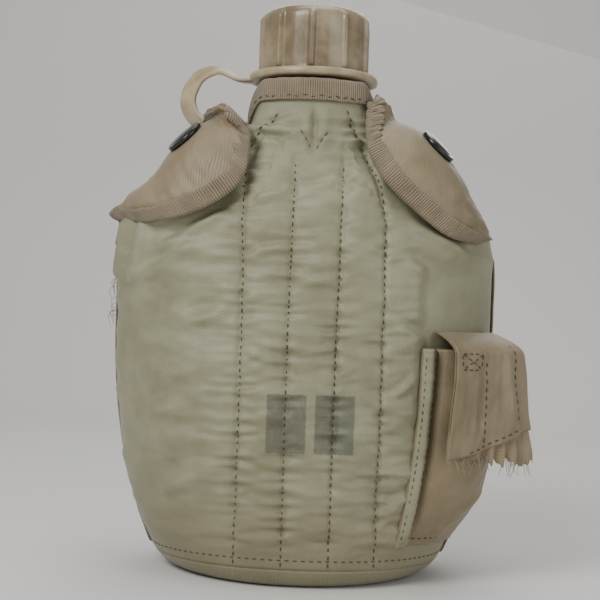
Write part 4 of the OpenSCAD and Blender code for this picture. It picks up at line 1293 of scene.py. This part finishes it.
FLAPS = (("left", LEFT_SEAM, LEFT_CURVES, 61), ("right", RIGHT_SEAM, RIGHT_CURVES, 71))
for side, seam, curves, seed in FLAPS:
    carrier = side + "_shoulder_flap"
    cloth, tape, thread_run = shoulder_flap(side, seam, curves, seed)
    finish(cloth, NYLON_TAN, carrier, "nylon", side + "_flap")
    finish(tape, TAPE, carrier, "binding_tape", side + "_flap_binding")
    finish(thread_run, THREAD, carrier, "nylon")
    disc = lathe(side + "_snap_cap", CAP_DISC, 72, snap_place(side, 2.4))
    finish(disc, ENAMEL, carrier, "black_enamel", side + "_snap_cap")
    socket = lathe(side + "_snap_socket", SOCKET_RING, 60, snap_place(side, -0.3, True))
    finish(socket, NICKEL, carrier, "nickel", side + "_snap_socket")
    stud = lathe(side + "_snap_stud", STUD, 60, stud_place(side))
    finish(stud, NICKEL, "canteen", "nickel", side + "_snap_stud")

pouch = finish(pocket_pouch(), NYLON_TAN, "canteen", "nylon", "pocket_pouch")
u = np.linspace(-0.005, 0.115, 20)[:, None]
v = np.linspace(-0.01, 1.0, 140)[None, :]
gathers = 0.25 * ripple(v * 70.0, u * 40.0, 43, 9.0, 2)
hem_surface = pouch_point(np.maximum(u, 0.0), np.clip(v, 0.0, 1.0), 1.9 + gathers)
finish(thick("pocket_hem", hem_surface, 0.8, 0.5), NYLON, "canteen", "nylon", "pocket_hem")
u = np.linspace(0.3, 0.7, 40)[:, None]
v = np.linspace(0.5, 0.8, 30)[None, :]
finish(thick("pocket_loop_tape", pouch_point(u, v, 2.3), 1.4, 0.4), HOOKS, "canteen", "fastener_tape",
       "pocket_loop_tape")

lid = finish(pocket_flap(), NYLON_TAN, "pocket_lid", "nylon", "pocket_flap")
u = np.linspace(0.2, 0.7, 30)[:, None]
v = np.linspace(0.4, 0.75, 30)[None, :]
finish(thick("pocket_hook_tape", pocket_flap_point(u, v, -0.9), 0.9, 0.4), HOOKS, "pocket_lid", "fastener_tape",
       "pocket_hook_tape")

for side in ("left", "right"):
    finish(softened(side + "_belt_chape", 0.3), WEBBING, "canteen", "webbing", side + "_belt_chape")
    steel = softened(side + "_keeper_frame", 0.4)
    finish(steel, STEEL_BLACK, "canteen", "black_enamel", side + "_keeper_frame")
    finish(softened(side + "_keeper_slide", 0.4), NICKEL, side + "_slide", "nickel", side + "_keeper_slide")

# Sewing on the pocket, loose ends and the small tape at the left seam
runs = []
for route, pitch in (([(0.37, 0.2), (0.40, 0.5), (0.41, 0.84)], 3.0),
                     ([(0.80, 0.08), (0.84, 0.4), (0.86, 0.66)], 3.0),
                     ([(0.22, 0.885), (0.5, 0.81), (0.84, 0.70)], 3.2), ([(0.06, 0.15), (0.30, 0.15)], 2.6),
                     ([(0.30, 0.15), (0.06, 0.27)], 2.6), ([(0.06, 0.15), (0.30, 0.27)], 2.6),
                     ([(0.06, 0.27), (0.30, 0.27)], 2.6), ([(0.06, 0.15), (0.06, 0.27)], 2.4),
                     ([(0.30, 0.15), (0.30, 0.27)], 2.4)):
    path, normals = on_pocket_flap(route, 90)
    runs.append(stitches("flap_run", path, normals, pitch, 1.9, 0.26, 0.0))
finish(joined("pocket_flap_stitches", runs), THREAD, "pocket_lid", "nylon")

rng = np.random.default_rng(77)
ends = []
for _ in range(34):
    u0 = rng.uniform(0.05, 0.98)
    start = pocket_flap_point(np.array(u0), np.array(0.90), 0.3 + rng.uniform(-0.4, 0.9))
    drop = rng.uniform(3.0, 8.0)
    lean = rng.uniform(-2.2, 2.2)
    ends.append(strand("fray", [start, start + [lean * 0.3, -0.6, -drop * 0.5], start + [lean, -0.9, -drop]],
                       0.13, 5, 10))
finish(joined("pocket_frays", ends), THREAD_PALE, "pocket_lid", "nylon")

runs = []
v = np.linspace(0.04, 0.97, 200)
for u_row in (0.018, 0.092):
    path = pouch_point(np.full(200, u_row), v, 2.45)
    side_step = pouch_point(np.full(200, u_row + 0.01), v, 2.45) - path
    runs.append(stitches("hem_run", path, np.cross(side_step, np.gradient(path, axis=0)), 2.7, 1.8, 0.24, 0.0))
u = np.linspace(0.02, 0.55, 140)
path = pouch_point(u, np.full(140, 0.045), 1.5)
runs.append(stitches("hem_run", path, outward(mix(*POUCH_A, u), np.full(140, 20.0)), 2.9, 1.9, 0.24, 0.0))
a = np.linspace(184.0, 356.0, 500)
z = np.full(500, 11.6)
path = cover(a, z, SHELL_OUT + front_relief(a, z) + 0.12)
runs.append(stitches("hem_run", path, outward(a, z), 2.9, 1.9, 0.24))
finish(joined("hem_stitches", runs), THREAD, "canteen", "nylon")

u = np.linspace(0.0, 1.0, 40)[:, None]
v = np.linspace(0.0, 1.0, 30)[None, :]
corner_lift = SHELL_OUT + 1.3 + 1.5 * np.sin(np.pi * u) + 0.0 * v
corner = cover(183.0 + 17.0 * u, 133.0 - 10.5 * v - 3.0 * u * v, corner_lift)
corner_tape = thick("left_corner", corner, 0.8, 0.5)
turn = np.linspace(0.0, 2.0 * np.pi, 48, endpoint=False)[:, None]
across_loop = np.linspace(-2.6, 2.6, 10)[None, :]
centre = cover(np.array(181.0), np.array(130.5), SHELL_OUT + 2.6)
loop_x = centre[0] + (2.4 + 0.2 * np.sin(3.0 * turn)) * np.cos(turn) + 0.0 * across_loop
loop_y = centre[1] + across_loop + 0.5 * np.sin(turn)
loop_z = centre[2] + 3.4 * np.sin(turn) + 0.1 * across_loop
wall = np.stack([loop_x, loop_y, loop_z], -1)
hub = np.array([centre[0], 0.0, centre[2]])
inside = wall - 0.8 * unit((wall - hub) * np.array([1.0, 0.0, 1.0]))
ring = np.concatenate([wall, inside[:, ::-1]], axis=1)
spread = np.stack(np.broadcast_arrays(turn * 3.0, np.linspace(0.0, 10.4, 20)[None, :]), -1)
loop_tape = make_mesh("left_loop", ring, grid_faces(48, 20, wrap_u=True, wrap_v=True).tolist(), spread)
tidy(loop_tape, 1e-7)
finish(joined("left_corner_tape", [corner_tape, loop_tape]), TAPE, "canteen", "binding_tape")

ends = []
for z0, count in ((108.0, 5), (100.0, 4), (95.0, 3)):
    for _ in range(count):
        start = cover(np.array(180.0 + rng.uniform(-3, 3)), np.array(z0 + rng.uniform(-3, 3)), SHELL_OUT + 1.0)
        reach = rng.uniform(1.5, 3.6)
        fall = rng.uniform(2.0, 7.5)
        middle = start + [-reach, 0.3, -fall * 0.3]
        ends.append(strand("end", [start, middle, start + [-reach * 0.7, 0.8, -fall]], 0.12, 5, 12))
finish(joined("left_seam_ends", ends), THREAD_PALE, "canteen", "nylon")
